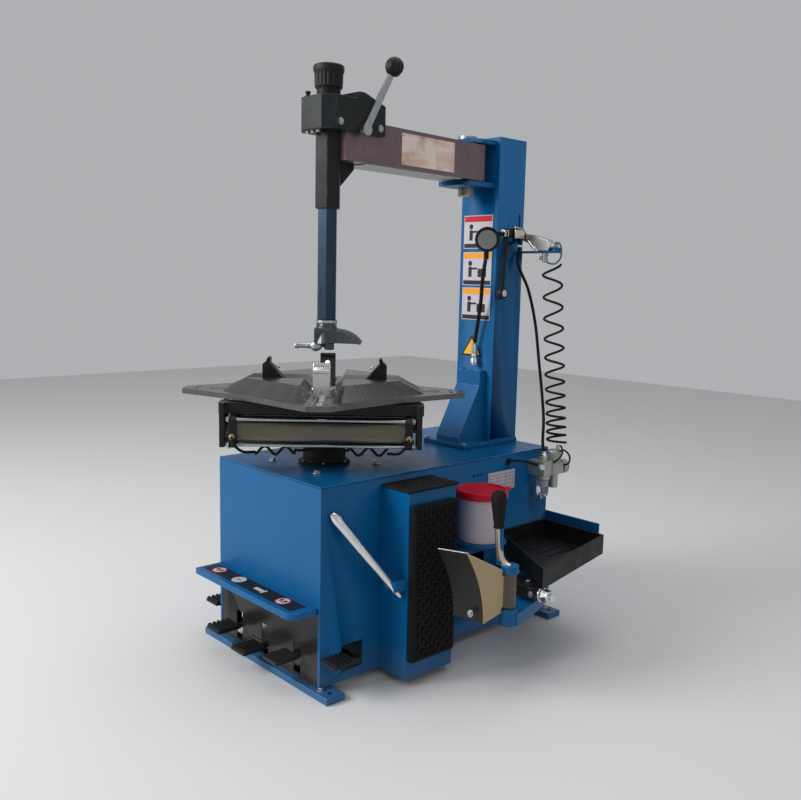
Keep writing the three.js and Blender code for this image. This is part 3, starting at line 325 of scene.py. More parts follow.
class Shape:
    """Closed solids gathered in one mesh."""

    def __init__(self):
        self.bm = bmesh.new()

    def rings(self, rings, closed_ends=True):
        """Skins a list of point rings of the same length."""
        made = [[self.bm.verts.new(p) for p in ring] for ring in rings]
        n = len(made[0])
        for low, high in zip(made, made[1:]):
            for i in range(n):
                j = (i + 1) % n
                self.bm.faces.new((low[i], low[j], high[j], high[i]))
        if closed_ends:
            self.bm.faces.new(list(reversed(made[0])))
            self.bm.faces.new(made[-1])
        return self

    def box(self, low, high, turn=None):
        (x0, y0, z0), (x1, y1, z1) = low, high
        bottom = [(x0, y0, z0), (x1, y0, z0), (x1, y1, z0), (x0, y1, z0)]
        top = [(x, y, z1) for x, y, _ in bottom]
        rings = [[Vector(p) for p in bottom], [Vector(p) for p in top]]
        if turn:
            rings = [[turn @ p for p in ring] for ring in rings]
        return self.rings(rings)

    def prism(self, outline, low, high, axis="z"):
        spread = {
            "x": lambda a, b, d: Vector((d, a, b)),
            "y": lambda a, b, d: Vector((a, d, b)),
            "z": lambda a, b, d: Vector((a, b, d)),
        }[axis]
        return self.rings([[spread(a, b, d) for a, b in outline] for d in (low, high)])

    def lathe(self, profile, origin, axis=(0, 0, 1), segments=48, wave=None):
        """Turns (radius, height) pairs round an axis; wave(angle, height) scales the radius."""
        w, u, v = across(axis)
        origin = Vector(origin)
        rings = []
        for radius, along in profile:
            ring = []
            for i in range(segments):
                a = 2 * math.pi * i / segments
                r = max(radius, 0.05) * (wave(a, along) if wave else 1)
                ring.append(origin + w * along + (u * math.cos(a) + v * math.sin(a)) * r)
            rings.append(ring)
        return self.rings(rings)

    def rod(self, start, end, radius, segments=24, chamfer=0.0):
        axis = Vector(end) - Vector(start)
        length = axis.length
        profile = [(radius, 0), (radius, length)]
        if chamfer:
            ends = [(radius - chamfer, 0), (radius - chamfer, length)]
            profile = [ends[0], (radius, chamfer), (radius, length - chamfer), ends[1]]
        return self.lathe(profile, start, axis, segments)

    def tube(self, points, radius, sides=12):
        """A round bar along a list of points."""
        points = [Vector(p) for p in points]
        ahead = (points[1] - points[0]).normalized()
        _, u, _ = across(ahead)
        rings = []
        for i, p in enumerate(points):
            a, b = points[max(i - 1, 0)], points[min(i + 1, len(points) - 1)]
            ahead = (b - a).normalized()
            u = (u - ahead * u.dot(ahead)).normalized()
            v = ahead.cross(u)
            angles = [2 * math.pi * k / sides for k in range(sides)]
            rings.append([p + (u * math.cos(t) + v * math.sin(t)) * radius for t in angles])
        return self.rings(rings)

    def bolt(self, place, axis, radius=6.0, height=5.0, washer=True):
        """A hexagon screw head on its washer."""
        place, axis = Vector(place), Vector(axis).normalized()
        if washer:
            self.rod(place, place + axis * 1.2, radius * 1.55, 28, 0.3)
        foot = place + axis * (1.1 if washer else 0)
        profile = [(radius, 0), (radius, height - 1), (radius * 0.86, height)]
        return self.lathe(profile, foot, axis, 6)

    def torus(self, centre, axis, ring, radius, segments=48, sides=12):
        w, u, v = across(axis)
        centre = Vector(centre)
        loops = []
        for i in range(segments):
            a = 2 * math.pi * i / segments
            out = u * math.cos(a) + v * math.sin(a)
            angles = [2 * math.pi * k / sides for k in range(sides)]
            loops.append([centre + out * (ring + radius * math.cos(t)) + w * radius * math.sin(t)
                          for t in angles])
        return self.rings([*loops, loops[0]], closed_ends=False)


def cut_corners(a0, a1, b0, b1, cut):
    """A rectangle's outline with its corners cut off."""
    return [(a0, b0 + cut), (a0 + cut, b0), (a1 - cut, b0), (a1, b0 + cut),
            (a1, b1 - cut), (a1 - cut, b1), (a0 + cut, b1), (a0, b1 - cut)]


def soften(bm, width, segments=2, angle=28):
    """Rounds the edges that are sharp and long enough for it, and marks the rounded faces."""
    worn = bm.faces.layers.float.new("worn")
    sharp = []
    for edge in bm.edges:
        if edge.is_manifold and edge.calc_length() > 2.2 * width:
            if edge.calc_face_angle(0) > math.radians(angle):
                sharp.append(edge)
    if sharp:
        made = bmesh.ops.bevel(bm, geom=sharp, offset=width, offset_type="OFFSET", segments=segments,
                               profile=0.5, affect="EDGES", clamp_overlap=True)
        for face in made["faces"]:
            face[worn] = 1.0


def to_object(name, bm, smooth=35, keep_normals=False):
    bmesh.ops.recalc_face_normals(bm, faces=bm.faces)
    mesh = bpy.data.meshes.new(name)
    bm.to_mesh(mesh)
    bm.free()
    mesh.polygons.foreach_set("use_smooth", [True] * len(mesh.polygons))
    mesh.set_sharp_from_angle(angle=math.radians(smooth))
    obj = bpy.data.objects.new(name, mesh)
    bpy.context.scene.collection.objects.link(obj)
    if not keep_normals:
        weighted = obj.modifiers.new("weighted", "WEIGHTED_NORMAL")
        weighted.keep_sharp = True
    return obj


def dress(obj, slot, body, look=None, replaces=()):
    obj.data.materials.clear()
    obj.data.materials.append(LOOKS[look or slot].material)
    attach(obj, body)
    if replaces:
        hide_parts(*replaces)
    return obj


def piece(name, shape, slot, body, bevel=0.0, look=None, replaces=(), turn=None, smooth=35, segments=2):
    """A new piece from a Shape in millimetres."""
    bm = shape.bm
    bmesh.ops.remove_doubles(bm, verts=bm.verts, dist=0.001)
    if bevel:
        soften(bm, bevel, segments)
    if turn:
        bm.transform(turn)
    bm.transform(Matrix.Scale(MM, 4))
    return dress(to_object(name, bm, smooth), slot, body, look, replaces)


def finished(node, bevel=1.2, segments=2, look=None, smooth=35):
    """The CAD node's shape with rounded edges and smooth shading, in place of the node."""
    bm = bmesh.new()
    bm.from_mesh(frame["nodes"][node].data)
    bm.transform(Matrix.Scale(1 / MM, 4))
    bmesh.ops.remove_doubles(bm, verts=bm.verts, dist=0.005)
    bmesh.ops.dissolve_limit(bm, angle_limit=math.radians(0.6), verts=bm.verts, edges=bm.edges)
    soften(bm, bevel, segments)
    bm.transform(Matrix.Scale(MM, 4))
    obj = to_object(node + "_finished", bm, smooth)
    return dress(obj, SLOT_OF[node], BODY_OF[node], look, [node])


def cast_over(node, voxel, rounds, look=None):
    """The CAD node's shape remeshed and smoothed, like a casting, in place of the node."""
    bm = bmesh.new()
    bm.from_mesh(frame["nodes"][node].data)
    bmesh.ops.remove_doubles(bm, verts=bm.verts, dist=0.005 * MM)
    obj = to_object(node + "_cast", bm, keep_normals=True)
    remesh = obj.modifiers.new("remesh", "REMESH")
    remesh.mode = "VOXEL"
    remesh.voxel_size = voxel * MM
    remesh.use_smooth_shade = True
    relax = obj.modifiers.new("relax", "SMOOTH")
    relax.factor = 0.5
    relax.iterations = rounds
    bpy.context.view_layer.update()
    made = bpy.data.meshes.new_from_object(obj.evaluated_get(bpy.context.evaluated_depsgraph_get()))
    obj.modifiers.clear()
    obj.data = made
    return dress(obj, SLOT_OF[node], BODY_OF[node], look, [node])


def repaint(*nodes, look=None):
    for node in nodes:
        mesh = frame["nodes"][node].data
        mesh.materials.clear()
        mesh.materials.append(LOOKS[look or SLOT_OF[node]].material)


def smooth_path(points, steps):
    """Points along a Catmull-Rom curve through the given ones, in the CAD model's own form."""
    points = [Vector(p) for p in points]
    first, last = 2 * points[0] - points[1], 2 * points[-1] - points[-2]
    chain = [first, *points, last]
    path = []
    for i in range(1, len(chain) - 2):
        knots = [0.0]
        for a, b in zip(chain[i - 1:i + 2], chain[i:i + 3]):
            knots.append(knots[-1] + (b - a).length ** 0.5)
        t0, t1, t2, t3 = knots
        p0, p1, p2, p3 = chain[i - 1:i + 3]
        for k in range(steps):
            t = t1 + (t2 - t1) * k / steps
            a1 = p0.lerp(p1, (t - t0) / (t1 - t0))
            a2 = p1.lerp(p2, (t - t1) / (t2 - t1))
            a3 = p2.lerp(p3, (t - t2) / (t3 - t2))
            b1 = a1.lerp(a2, (t - t0) / (t2 - t0))
            b2 = a2.lerp(a3, (t - t1) / (t3 - t1))
            path.append(b1.lerp(b2, (t - t1) / (t2 - t1)))
    return [*path, points[-1]]


# ---------- cords ----------
def hose(name, path, diameter, node, look="rubber"):
    """A round hose along a path in metres."""
    data = bpy.data.curves.new(name, "CURVE")
    data.dimensions = "3D"
    data.bevel_depth = diameter / 2
    data.bevel_resolution = 4
    data.use_fill_caps = True
    spline = data.splines.new("POLY")
    spline.points.add(len(path) - 1)
    for point, place in zip(spline.points, path):
        point.co = (*place, 1)
    obj = bpy.data.objects.new(name, data)
    bpy.context.scene.collection.objects.link(obj)
    data.materials.append(LOOKS[look].material)
    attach(obj, "base")
    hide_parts(node)
    return obj


def add_cords():
    x1, y0, y1 = 0.104, 0.635, 0.739  # the column's right, front and rear faces, in metres
    supply = smooth_path([
        (0.124, y0 + 0.069, 0.9985), (0.125, y0 + 0.061, 0.958), (0.144, y1 - 0.018, 0.885),
        (0.157, y1, 0.800), (0.172, y1 + 0.006, 0.690), (0.190, y1 + 0.005, 0.590),
        (0.202, y1 - 0.002, 0.535), (0.214, y1 - 0.017, 0.482), (0.229, y1 - 0.024, 0.437),
    ], 8)
    obj = hose("supply_hose_line", supply, 0.008, "supply_hose")

    gauge = smooth_path([
        (x1 - 0.005, y0 - 0.036, 0.959), (x1 - 0.012, y0 - 0.036, 0.920), (0.078, y0 - 0.026, 0.850),
        (0.062, y0 - 0.018, 0.790), (0.050, y0 - 0.014, 0.742),
    ], 8)
    chuck = air_chuck()
    obj = hose("gauge_hose_line", gauge, 0.010, "gauge_hose")

    # The coil hangs between the blow gun and the regulator; its turns are tighter lower down.
    top, bottom = Vector((0.196, y1 + 0.012, 0.958)), Vector((0.243, 0.744, 0.476))
    turns, radius, per_turn = 12, 0.0243, 32
    _, u, v = across(top - bottom)
    path = []
    for i in range(turns * per_turn + 1):
        share = i / (turns * per_turn)
        along = 1 - (share + 0.16 * math.sin(math.pi * share))
        a = 2 * math.pi * turns * share + 2.6
        middle_line = bottom.lerp(top, 0.015 + 0.97 * along)
        path.append(middle_line + (u * math.cos(a) + v * math.sin(a)) * radius)
    obj = hose("coil_hose_line", path, 0.0064, "coil_hose")


def air_chuck():
    """The clip-on chuck at the end of the inflator's hose."""
    low, high = corners("air_chuck")
    x, y = (low.x + high.x) / 2, (low.y + high.y) / 2
    shape = Shape()
    shape.lathe([(4, 0), (6.5, 1), (6.5, 8), (7, 9), (7, 24), (5.5, 26), (5.5, 30), (8, 32), (8, 36),
                 (6.5, 38)], (x, y, high.z), (0, 0, -1), 32)
    shape.lathe([(7, 0), (10.5, 1.5), (10.5, 14), (8.5, 16), (8.5, 18)],
                (x, y, low.z + 19), (0.28, -0.08, -1), 32)
    shape.box((x + 5, y - 3, high.z - 34), (x + 9, y + 3, high.z - 8))
    return piece("air_chuck_body", shape, "chrome", "base", replaces=["air_chuck"])


# ---------- cabinet, hood, pedals, skids ----------
def disc(shape, centre, radius, thickness, axis=(0, 0, 1), segments=40):
    return shape.lathe([(radius, 0), (radius, thickness)], centre, axis, segments)


def add_cabinet():
    finished("cabinet_shell", 1.0)
    finished("cabinet_top", 1.4)
    finished("pedal_panel", 0.8, look="gloss_panel")
    finished("pedal_hood", 1.2)
    finished("front_skid", 2.0)
    finished("rear_skid", 2.0)
    top_high = corners("cabinet_top")[1]
    table = middle("turntable_plate")
    bolts = Shape()
    for dx in (-88, 88):
        for dy in (-88, 88):
            bolts.bolt((table.x + dx, table.y + dy, top_high.z), (0, 0, 1), 8, 6)
    base_low, base_high = corners("column_base")
    plate_top = top_high.z + 12.3
    for x in (base_low.x + 12, base_high.x - 8):
        for y in (base_low.y + 5, base_high.y - 7):
            bolts.bolt((x, y, plate_top), (0, 0, 1), 5.5, 5)
    for node in ("front_skid", "rear_skid"):
        low, high = corners(node)
        y = (low.y + high.y) / 2
        for x in (low.x + 44, high.x - 44):
            bolts.bolt((x, y - 8 if node == "front_skid" else y + 8, high.z), (0, 0, 1), 6.5, 6)
    piece("cabinet_bolts", bolts, "steel", "base", 0.5)

    # A black sleeve with a bolted flange round the gearbox neck.
    neck = Shape()
    neck.lathe([(50.6, 0), (61, 0), (62, 1), (62, 5), (60, 6.5), (53, 7), (51.2, 10), (51.2, 52), (50.6, 53)],
               (table.x, table.y, top_high.z), segments=64)
    piece("neck_sleeve", neck, "black_paint", "base", look="neck_black")
    screws = Shape()
    for k in range(6):
        a = math.radians(60 * k + 20)
        place = (table.x + 57 * math.cos(a), table.y + 57 * math.sin(a), top_high.z + 6)
        screws.bolt(place, (0, 0, 1), 3.2, 3, washer=False)
    piece("neck_screws", screws, "steel", "base", 0.3)

    # Three slots, a data plate with empty fields and a hose grommet on the right side.
    side = top_high.x
    slots = Shape()
    slot_y, slot_z, slot_pitch = 462, 424, 14
    for k in range(3):
        y = slot_y + slot_pitch * k
        slots.box((side - 0.6, y, slot_z), (side + 0.5, y + 8, slot_z + 5))
    piece("cabinet_slots", slots, "black_plastic", "base", 0.2)
    y0, y1, z0, z1 = 520, 622, 374, 424
    label = Shape().box((side, y0, z0), (side + 0.5, y1, z1))
    piece("data_plate", label, "white_plastic", "base", 0.2)
    grid, margin, line, row = Shape(), 6, 0.8, 9
    for k in range(5):
        z = z0 + margin + row * k
        grid.box((side + 0.4, y0 + margin, z), (side + 0.7, y1 - margin, z + line))
    for y in (y0 + margin, y0 + 36, y0 + 66, y1 - margin - line):
        grid.box((side + 0.4, y, z0 + margin), (side + 0.7, y + line, z0 + margin + 4 * row + line))
    piece("data_plate_lines", grid, "black_plastic", "base")
    grommet = Shape().torus((side + 1, 594, 447), (1, 0, 0), 6.5, 2.4, 32)
    piece("hose_grommet", grommet, "rubber", "base")


def add_hood_label():
    low, high = corners("pedal_hood")
    width, z = high.x - low.x, high.z
    strip = Shape().box((low.x + 12, low.y + 14, z), (high.x - 22, high.y - 14, z + 0.5))
    piece("hood_strip", strip, "black_plastic", "base", 0.2)
    middle_y = (low.y + high.y) / 2
    red, white, dark = Shape(), Shape(), Shape()
    marks = [low.x + share * width for share in (0.135, 0.352, 0.575, 0.80)]
    for x in (marks[0], marks[3]):
        disc(red, (x, middle_y, z + 0.4), 19, 0.5)
        disc(white, (x, middle_y, z + 0.8), 15.5, 0.4)
        for dx in (-7, 7):
            disc(dark, (x + dx, middle_y + 2, z + 1.1), 4.6, 0.3)
        dark.box((x - 9, middle_y - 6, z + 1.1), (x + 9, middle_y - 3.6, z + 1.4))
    disc(white, (marks[1], middle_y, z + 0.4), 18, 0.5)
    dark.box((marks[1] - 9, middle_y - 1.2, z + 0.8), (marks[1] + 9, middle_y + 1.2, z + 1.1))
    white.box((marks[2] - 20, middle_y - 6, z + 0.4), (marks[2] + 12, middle_y + 5, z + 0.9))
    white.box((marks[2] + 11, middle_y - 9, z + 0.4), (marks[2] + 18, middle_y + 9, z + 0.9))
    piece("hood_marks_red", red, "red_plastic", "base")
    piece("hood_marks_white", white, "white_plastic", "base")
    piece("hood_marks_dark", dark, "black_plastic", "base")


def add_pedals():
    for node in ("rotation_pedal", "clamp_pedal", "tilt_pedal", "breaker_pedal_left", "breaker_pedal_right"):
        finished(node, 1.3)
        low, high = corners(node)
        if node == "tilt_pedal":
            continue
        # Rows of small studs on the tread ribs.
        inner, outer, tread = low.x, high.x, 50
        if node == "breaker_pedal_right":
            inner = outer - tread
        elif node == "breaker_pedal_left":
            outer = inner + tread
        studs = Shape()
        for row in range(5):
            y = low.y + 6 + 12 * row
            for column in range(7):
                x = inner + 4 + (outer - inner - 8) * (column + 0.5) / 7
                studs.lathe([(2.1, 0), (1.9, 1.4), (1.2, 2.0)], (x, y, high.z - 0.4), (0, 0, 1), 10)
        piece(node + "_studs", studs, "black_plastic", BODY_OF[node])


def add_pad_box():
    finished("pad_box", 1.4)
    finished("box_top_mat", 2.2)
    low, high = corners("rubber_pad")
    plate_x = high.x - 3.2
    pad = Shape().prism(cut_corners(low.y, high.y, low.z, high.z, 5), low.x, plate_x, "x")
    piece("rubber_pad_body", pad, "rubber", "base", 1.6, replaces=["rubber_pad"])
    # Tread: two crossing sets of diagonal ribs inside a raised border.
    ribs = Shape()
    y0, y1, z0, z1 = low.y + 9, high.y - 9, low.z + 9, high.z - 9
    step, rib_half = 26, 2.6
    for slope in (1, -1):
        offset = z0 - (y1 - y0)
        while offset < z1 + (y1 - y0):
            ends = []
            for y in (y0, y1):
                ends.append((y, offset + slope * (y - (y0 if slope > 0 else y1))))
            (ya, za), (yb, zb) = sorted(ends, key=lambda end: end[1])
            if zb > z0 + 4 and za < z1 - 4:
                lean = (yb - ya) / (zb - za)
                start, end = max(za, z0), min(zb, z1)
                a = (ya + (start - za) * lean, start)
                b = (ya + (end - za) * lean, end)
                if abs(b[1] - a[1]) > 6:
                    u, w = Vector((-(b[1] - a[1]), b[0] - a[0])).normalized() * rib_half
                    quad = [(a[0] + u, a[1] + w), (a[0] - u, a[1] - w),
                            (b[0] - u, b[1] - w), (b[0] + u, b[1] + w)]
                    ribs.prism(quad, plate_x - 0.5, high.x, "x")
            offset += step
    piece("rubber_pad_tread", ribs, "rubber", "base", 0.8)
    border = Shape()
    for a, b in (((low.y + 3, low.z + 6), (y0, high.z - 6)), ((y1, low.z + 6), (high.y - 3, high.z - 6)),
                 ((low.y + 6, low.z + 3), (high.y - 6, z0)), ((low.y + 6, z1), (high.y - 6, high.z - 3))):
        border.box((plate_x - 0.5, *a), (high.x - 0.4, *b))
    piece("rubber_pad_border", border, "rubber", "base", 0.8)
    studs = Shape()
    box_low, box_high = corners("box_top_mat")
    for row in range(4):
        for column in range(7):
            x = box_low.x + 14 + 22 * row
            y = box_low.y + 14 + 21 * column
            studs.lathe([(3.2, 0), (2.9, 1.1), (2.0, 1.6)], (x, y, box_high.z - 0.3), (0, 0, 1), 14)
    piece("mat_studs", studs, "rubber", "base")


# ---------- column and swing arm ----------
COLUMN = 104  # across the square tube


def column_front():
    return corners("column_tube")[1].y - COLUMN


def add_column():
    finished("column_tube", 1.6)
    finished("column_base", 1.6)
    repaint("arm_pivot_pin")
    right = corners("column_base")[1].x - 2
    front = column_front()
    slot = Shape().box((right - 1, front + 84, 1034), (right + 0.4, front + 90, 1083))
    piece("column_slot", slot, "black_plastic", "base", 0.3)

    # Plain instruction stickers: coloured heading, white field with simple shapes, dark foot.
    left_edge, right_edge = -14, 88
    white, dark, red, orange = Shape(), Shape(), Shape(), Shape()
    for top, foot, heading in ((1077, 990, red), (981, 893, orange), (887, 801, orange)):
        white.box((left_edge, front - 0.4, foot), (right_edge, front, top))
        heading.box((left_edge + 2, front - 0.7, top - 17), (right_edge - 2, front - 0.3, top - 2))
        dark.box((left_edge + 2, front - 0.7, foot + 2), (right_edge - 2, front - 0.3, foot + 13))
        centre = (foot + top) / 2 - 2
        turns = [k / 10 * math.pi for k in range(20)]
        head = [(12 + 7 * math.cos(a), centre + 16 + 7 * math.sin(a)) for a in turns]
        dark.prism(head, front - 0.7, front - 0.3, "y")
        dark.box((6, front - 0.7, centre - 20), (18, front - 0.3, centre + 7))
        dark.box((17, front - 0.7, centre), (38, front - 0.3, centre + 5))
        dark.box((40, front - 0.7, centre - 20), (70, front - 0.3, centre + 2))
    piece("sticker_fields", white, "white_plastic", "base")
    piece("sticker_shapes", dark, "black_plastic", "base", look="ink")
    piece("sticker_heading_red", red, "red_plastic", "base")
    piece("sticker_headings_orange", orange, "red_plastic", "base", look="orange")
    sign_low, sign_high, sign_x, reach = 703, 760, 27, 39
    outer = [(sign_x - reach, sign_low), (sign_x + reach, sign_low), (sign_x, sign_high)]
    inner = [(sign_x - reach + 9, sign_low + 5), (sign_x + reach - 9, sign_low + 5), (sign_x, sign_high - 10)]
    piece("sign_border", Shape().prism(outer, front - 0.4, front, "y"), "black_plastic", "base", look="ink")
    field = Shape().prism(inner, front - 0.7, front - 0.3, "y")
    piece("sign_field", field, "white_plastic", "base", look="yellow")

    bolts = Shape()
    pivot = middle("arm_pivot_pin")
    pin_low, pin_high = corners("arm_pivot_pin")
    bolts.lathe([(24, 0), (24, 3), (22, 4)], (pivot.x, pivot.y, pin_high.z - 4), (0, 0, 1), 48)
    bolts.bolt((pivot.x, pivot.y, pin_high.z - 0.5), (0, 0, 1), 11, 4, washer=False)
    bolts.bolt((pivot.x, pivot.y, pin_low.z + 26), (0, 0, -1), 21, 24, washer=False)
    piece("pivot_nuts", bolts, "steel", "base", 0.8)
    # Weld beads along the base of the column.
    foot, corner = corners("column_tube")[0].z + 1, Vector((right, front, 0))
    beads = Shape()
    for start, end in ((Vector((-25, front, 0)), corner), (corner, corner + Vector((0, COLUMN, 0)))):
        ripple = [Vector((0, 0, foot + 0.7 * math.sin(k * 2.6))) for k in range(41)]
        beads.tube([start.lerp(end, k / 40) + rise for k, rise in enumerate(ripple)], 2.6, 8)
    piece("column_weld", beads, "blue_paint", "base")


def arm_frame():
    """The swing arm's own frame: the pivot at the origin, the arm along -Y, in millimetres."""
    pivot, shaft = middle("arm_pivot_pin"), middle("hex_shaft")
    away = shaft - pivot
    angle = math.atan2(away.y, away.x) + math.pi / 2
    reach = math.hypot(away.x, away.y)
    return Matrix.Translation((pivot.x, pivot.y, 0)) @ Matrix.Rotation(angle, 4, "Z"), -reach


def add_swing_arm():
    turn, mast_y = arm_frame()
    finished("swing_arm", 3.0, 3)
    finished("mast_sleeve", 2.4)
    finished("clamp_housing", 3.0, 3, look="housing_black")
    low, high = corners("swing_arm")
    bottom, top = low.z, high.z
    plate = Shape().box((45, -292, bottom + 9), (46.2, -104, top - 9))
    piece("arm_name_blank", plate, "arm_paint", "arm", 0.5, look="copper", turn=turn)
    rivets = Shape()
    for y in (-286, -110):
        for z in (bottom + 15, top - 15):
            rivets.lathe([(2.6, 0), (2.3, 0.9), (1.2, 1.5)], (46.0, y, z), (1, 0, 0), 16)
    piece("arm_rivets", rivets, "steel", "arm", turn=turn)
    strip = Shape().box((-41, mast_y + 78, bottom - 2.0), (41, -66, bottom + 0.5))
    piece("arm_underside", strip, "grey_alloy", "arm", 0.6, turn=turn)
    rear = Shape().box((-38, 16, bottom + 8), (38, 18.6, top - 8))
    piece("arm_rear_cap", rear, "black_plastic", "arm", 0.8, turn=turn)
    house_low, house_high = corners("clamp_housing")
    small = Shape()
    for x in (-22, -6, 12):
        small.bolt((x, mast_y - 40, house_low.z), (0, 0, -1), 5, 6, washer=False)
    for y in (mast_y - 16, mast_y + 104):
        small.bolt((58, y, house_low.z + 16), (1, 0, 0), 5, 4)
        small.bolt((-58, y, house_low.z + 16), (-1, 0, 0), 5, 4)
    piece("housing_bolts", small, "steel", "arm", 0.4, turn=turn)
    fitting = Shape()
    fitting.lathe([(7, 0), (7, 5), (4.5, 6), (4.5, 10), (6, 11), (6, 15), (3, 16)],
                  (-34, mast_y - 30, house_high.z - 15.5), (0, 0, 1), 24)
    piece("housing_fitting", fitting, "black_plastic", "arm", turn=turn)
    place = (16, mast_y + 76, house_high.z - 9)
    stud = Shape().lathe([(9, 0), (9, 3), (6, 4), (5, 6)], place, (0, 0.3, 1), 32)
    piece("housing_stud", stud, "black_plastic", "arm", turn=turn)


def add_mast():
    turn, mast_y = arm_frame()
    finished("hex_shaft", 1.2, look="shaft_steel")
    low, high = corners("mast_cap")
    flare = (high.x - low.x) / 2
    grip = flare - 3.5

    def flutes(angle, along):
        depth = 0.05 if 24 < along < 51 else 0.0
        return 1 - depth * max(0, math.sin(20 * angle)) ** 0.5 if depth else 1

    cap = Shape()
    tall = high.z - low.z
    cap.lathe([(25, 0), (26, 1), (26, 18), (grip - 1, 21), (grip, 23), (grip, 25), (grip + 0.6, 36),
               (grip + 1, 50), (grip + 1, 52), (flare - 0.6, 55), (flare, 57), (flare, tall - 4),
               (flare - 1.5, tall - 1.5), (flare - 5, tall), (4, tall)],
              (0, mast_y, low.z), (0, 0, 1), 160, flutes)
    piece("mast_cap_body", cap, "black_plastic", "mast", replaces=["mast_cap"], turn=turn, smooth=50)
    cast_over("mount_head", 1.3, 6, look="head_steel")
    head_top = corners("mount_head")[1].z
    details = Shape()
    for k in range(4):
        a = math.radians(90 * k + 20)
        place = (21 * math.cos(a), mast_y + 21 * math.sin(a), head_top - 12)
        details.bolt(place, (math.cos(a), math.sin(a), 0), 4, 3, washer=False)
    details.lathe([(23.5, 0), (24.5, 1), (24.5, 5), (23.5, 6)], (0, mast_y, head_top - 8), (0, 0, 1), 48)
    piece("head_clamp_ring", details, "steel", "mast", 0.4, turn=turn)

    centre = Vector((-10, mast_y - 22, middle("head_roller").z))
    along = Vector((-1, -1, 0)).normalized()
    roller = Shape()
    roller.lathe([(5, -13), (9.2, -9.5), (12.2, -4.8), (13, 0), (12.2, 4.8), (9.2, 9.5), (6.6, 12), (6.6, 20),
                  (5.8, 21), (5.8, 38), (7, 39), (7, 46), (5.4, 48)], centre, along, 48)
    piece("head_roller_body", roller, "steel", "roller", replaces=["head_roller"], turn=turn)


def add_lock_lever():
    finished("lock_lever", 1.6, 3)
    low, high = corners("lever_knob")
    centre, radius = (low + high) / 2, (high.z - low.z) / 2

    def lobes(angle, along):
        return 1 - 0.09 * (0.5 + 0.5 * math.cos(7 * angle)) ** 2

    profile = []
    for k in range(25):
        a = math.pi * k / 24
        profile.append((radius * math.sin(a) ** 0.85, -radius * math.cos(a)))
    knob = Shape().lathe(profile, centre, (0, 0.35, 1), 112, lobes)
    piece("lever_knob_body", knob, "black_plastic", "lock_lever", replaces=["lever_knob"], smooth=60)


# ---------- turntable ----------
def table_turn(angle):
    """Turns about the table's axis; its jaws stand at 45 degrees and quarter turns from there."""
    centre, jaw = middle("turntable_plate"), middle("jaw_3")
    turned = math.atan2(jaw.y - centre.y, jaw.x - centre.x) - math.radians(45)
    return Matrix.Translation((centre.x, centre.y, 0)) @ Matrix.Rotation(turned + math.radians(angle), 4, "Z")


def add_turntable():
    finished("turntable_plate", 2.2, 3, look="table_steel")
    finished("table_carrier", 1.6)
    centre = Vector((*middle("turntable_plate").xy, 0))
    face = corners("turntable_plate")[1].z - 30
    hub = Shape()
    hub.lathe([(30, 0), (30, 4), (27, 6), (18, 6.5), (17, 9), (4, 9.5)],
              (*centre.xy, face - 0.5), (0, 0, 1), 48)
    hub.bolt((*centre.xy, face + 8), (0, 0, 1), 13, 7, washer=False)
    piece("table_hub", hub, "steel", "turntable", 0.6)
    rails, screws = Shape(), Shape()
    for quarter in range(4):
        turn = table_turn(45 + 90 * quarter).to_3x3()
        for side in (-1, 1):
            a = turn @ Vector((60, side * 9.4, 0)) + centre
            b = turn @ Vector((268, side * 9.4, 0)) + centre
            rails.tube([(a.x, a.y, face + 0.4), (b.x, b.y, face + 0.4)], 1.3, 8)
        for along in (262, 300) if quarter % 2 == 0 else (258,):
            for side in (-1, 1):
                p = turn @ Vector((along, side * 17.5, 0)) + centre
                screws.lathe([(4.2, 0), (4.0, 0.9), (2.2, 1.0)], (p.x, p.y, face - 0.1), (0, 0, 1), 20)
    piece("slot_rails", rails, "steel", "turntable")
    piece("table_screws", screws, "dark_steel", "turntable")
    near, outer = 2, 146
    for number, angle in enumerate((225, 315, 45, 135), 1):
        jaw = f"jaw_{number}"
        finished(jaw, 1.0, look="chrome" if number == near else "jaw_black")
        jaw_top = corners(jaw)[1].z
        turn = table_turn(angle)
        teeth = Shape()
        for k in range(7):
            y = -17.5 + 5 * k
            profile = [(outer - 8, jaw_top - 22), (outer + 1.2, jaw_top - 24), (outer - 6, jaw_top - 13),
                       (outer - 11, jaw_top - 4)]
            teeth.prism(profile, y, y + 3.2, "y")
        piece(jaw + "_teeth", teeth, SLOT_OF[jaw], jaw, 0.4, look="jaw_black", turn=turn)
        bolt = Shape()
        for side in (-1, 1):
            bolt.bolt((outer - 26, side * 19, face + 13), (0, side, 0), 6.5, 3.4, washer=False)
        bolt.bolt((outer - 34, 0, face + 52), (-0.85, 0, 1), 7, 4, washer=False)
        piece(jaw + "_bolts", bolt, "chrome", jaw, 0.4, turn=turn)


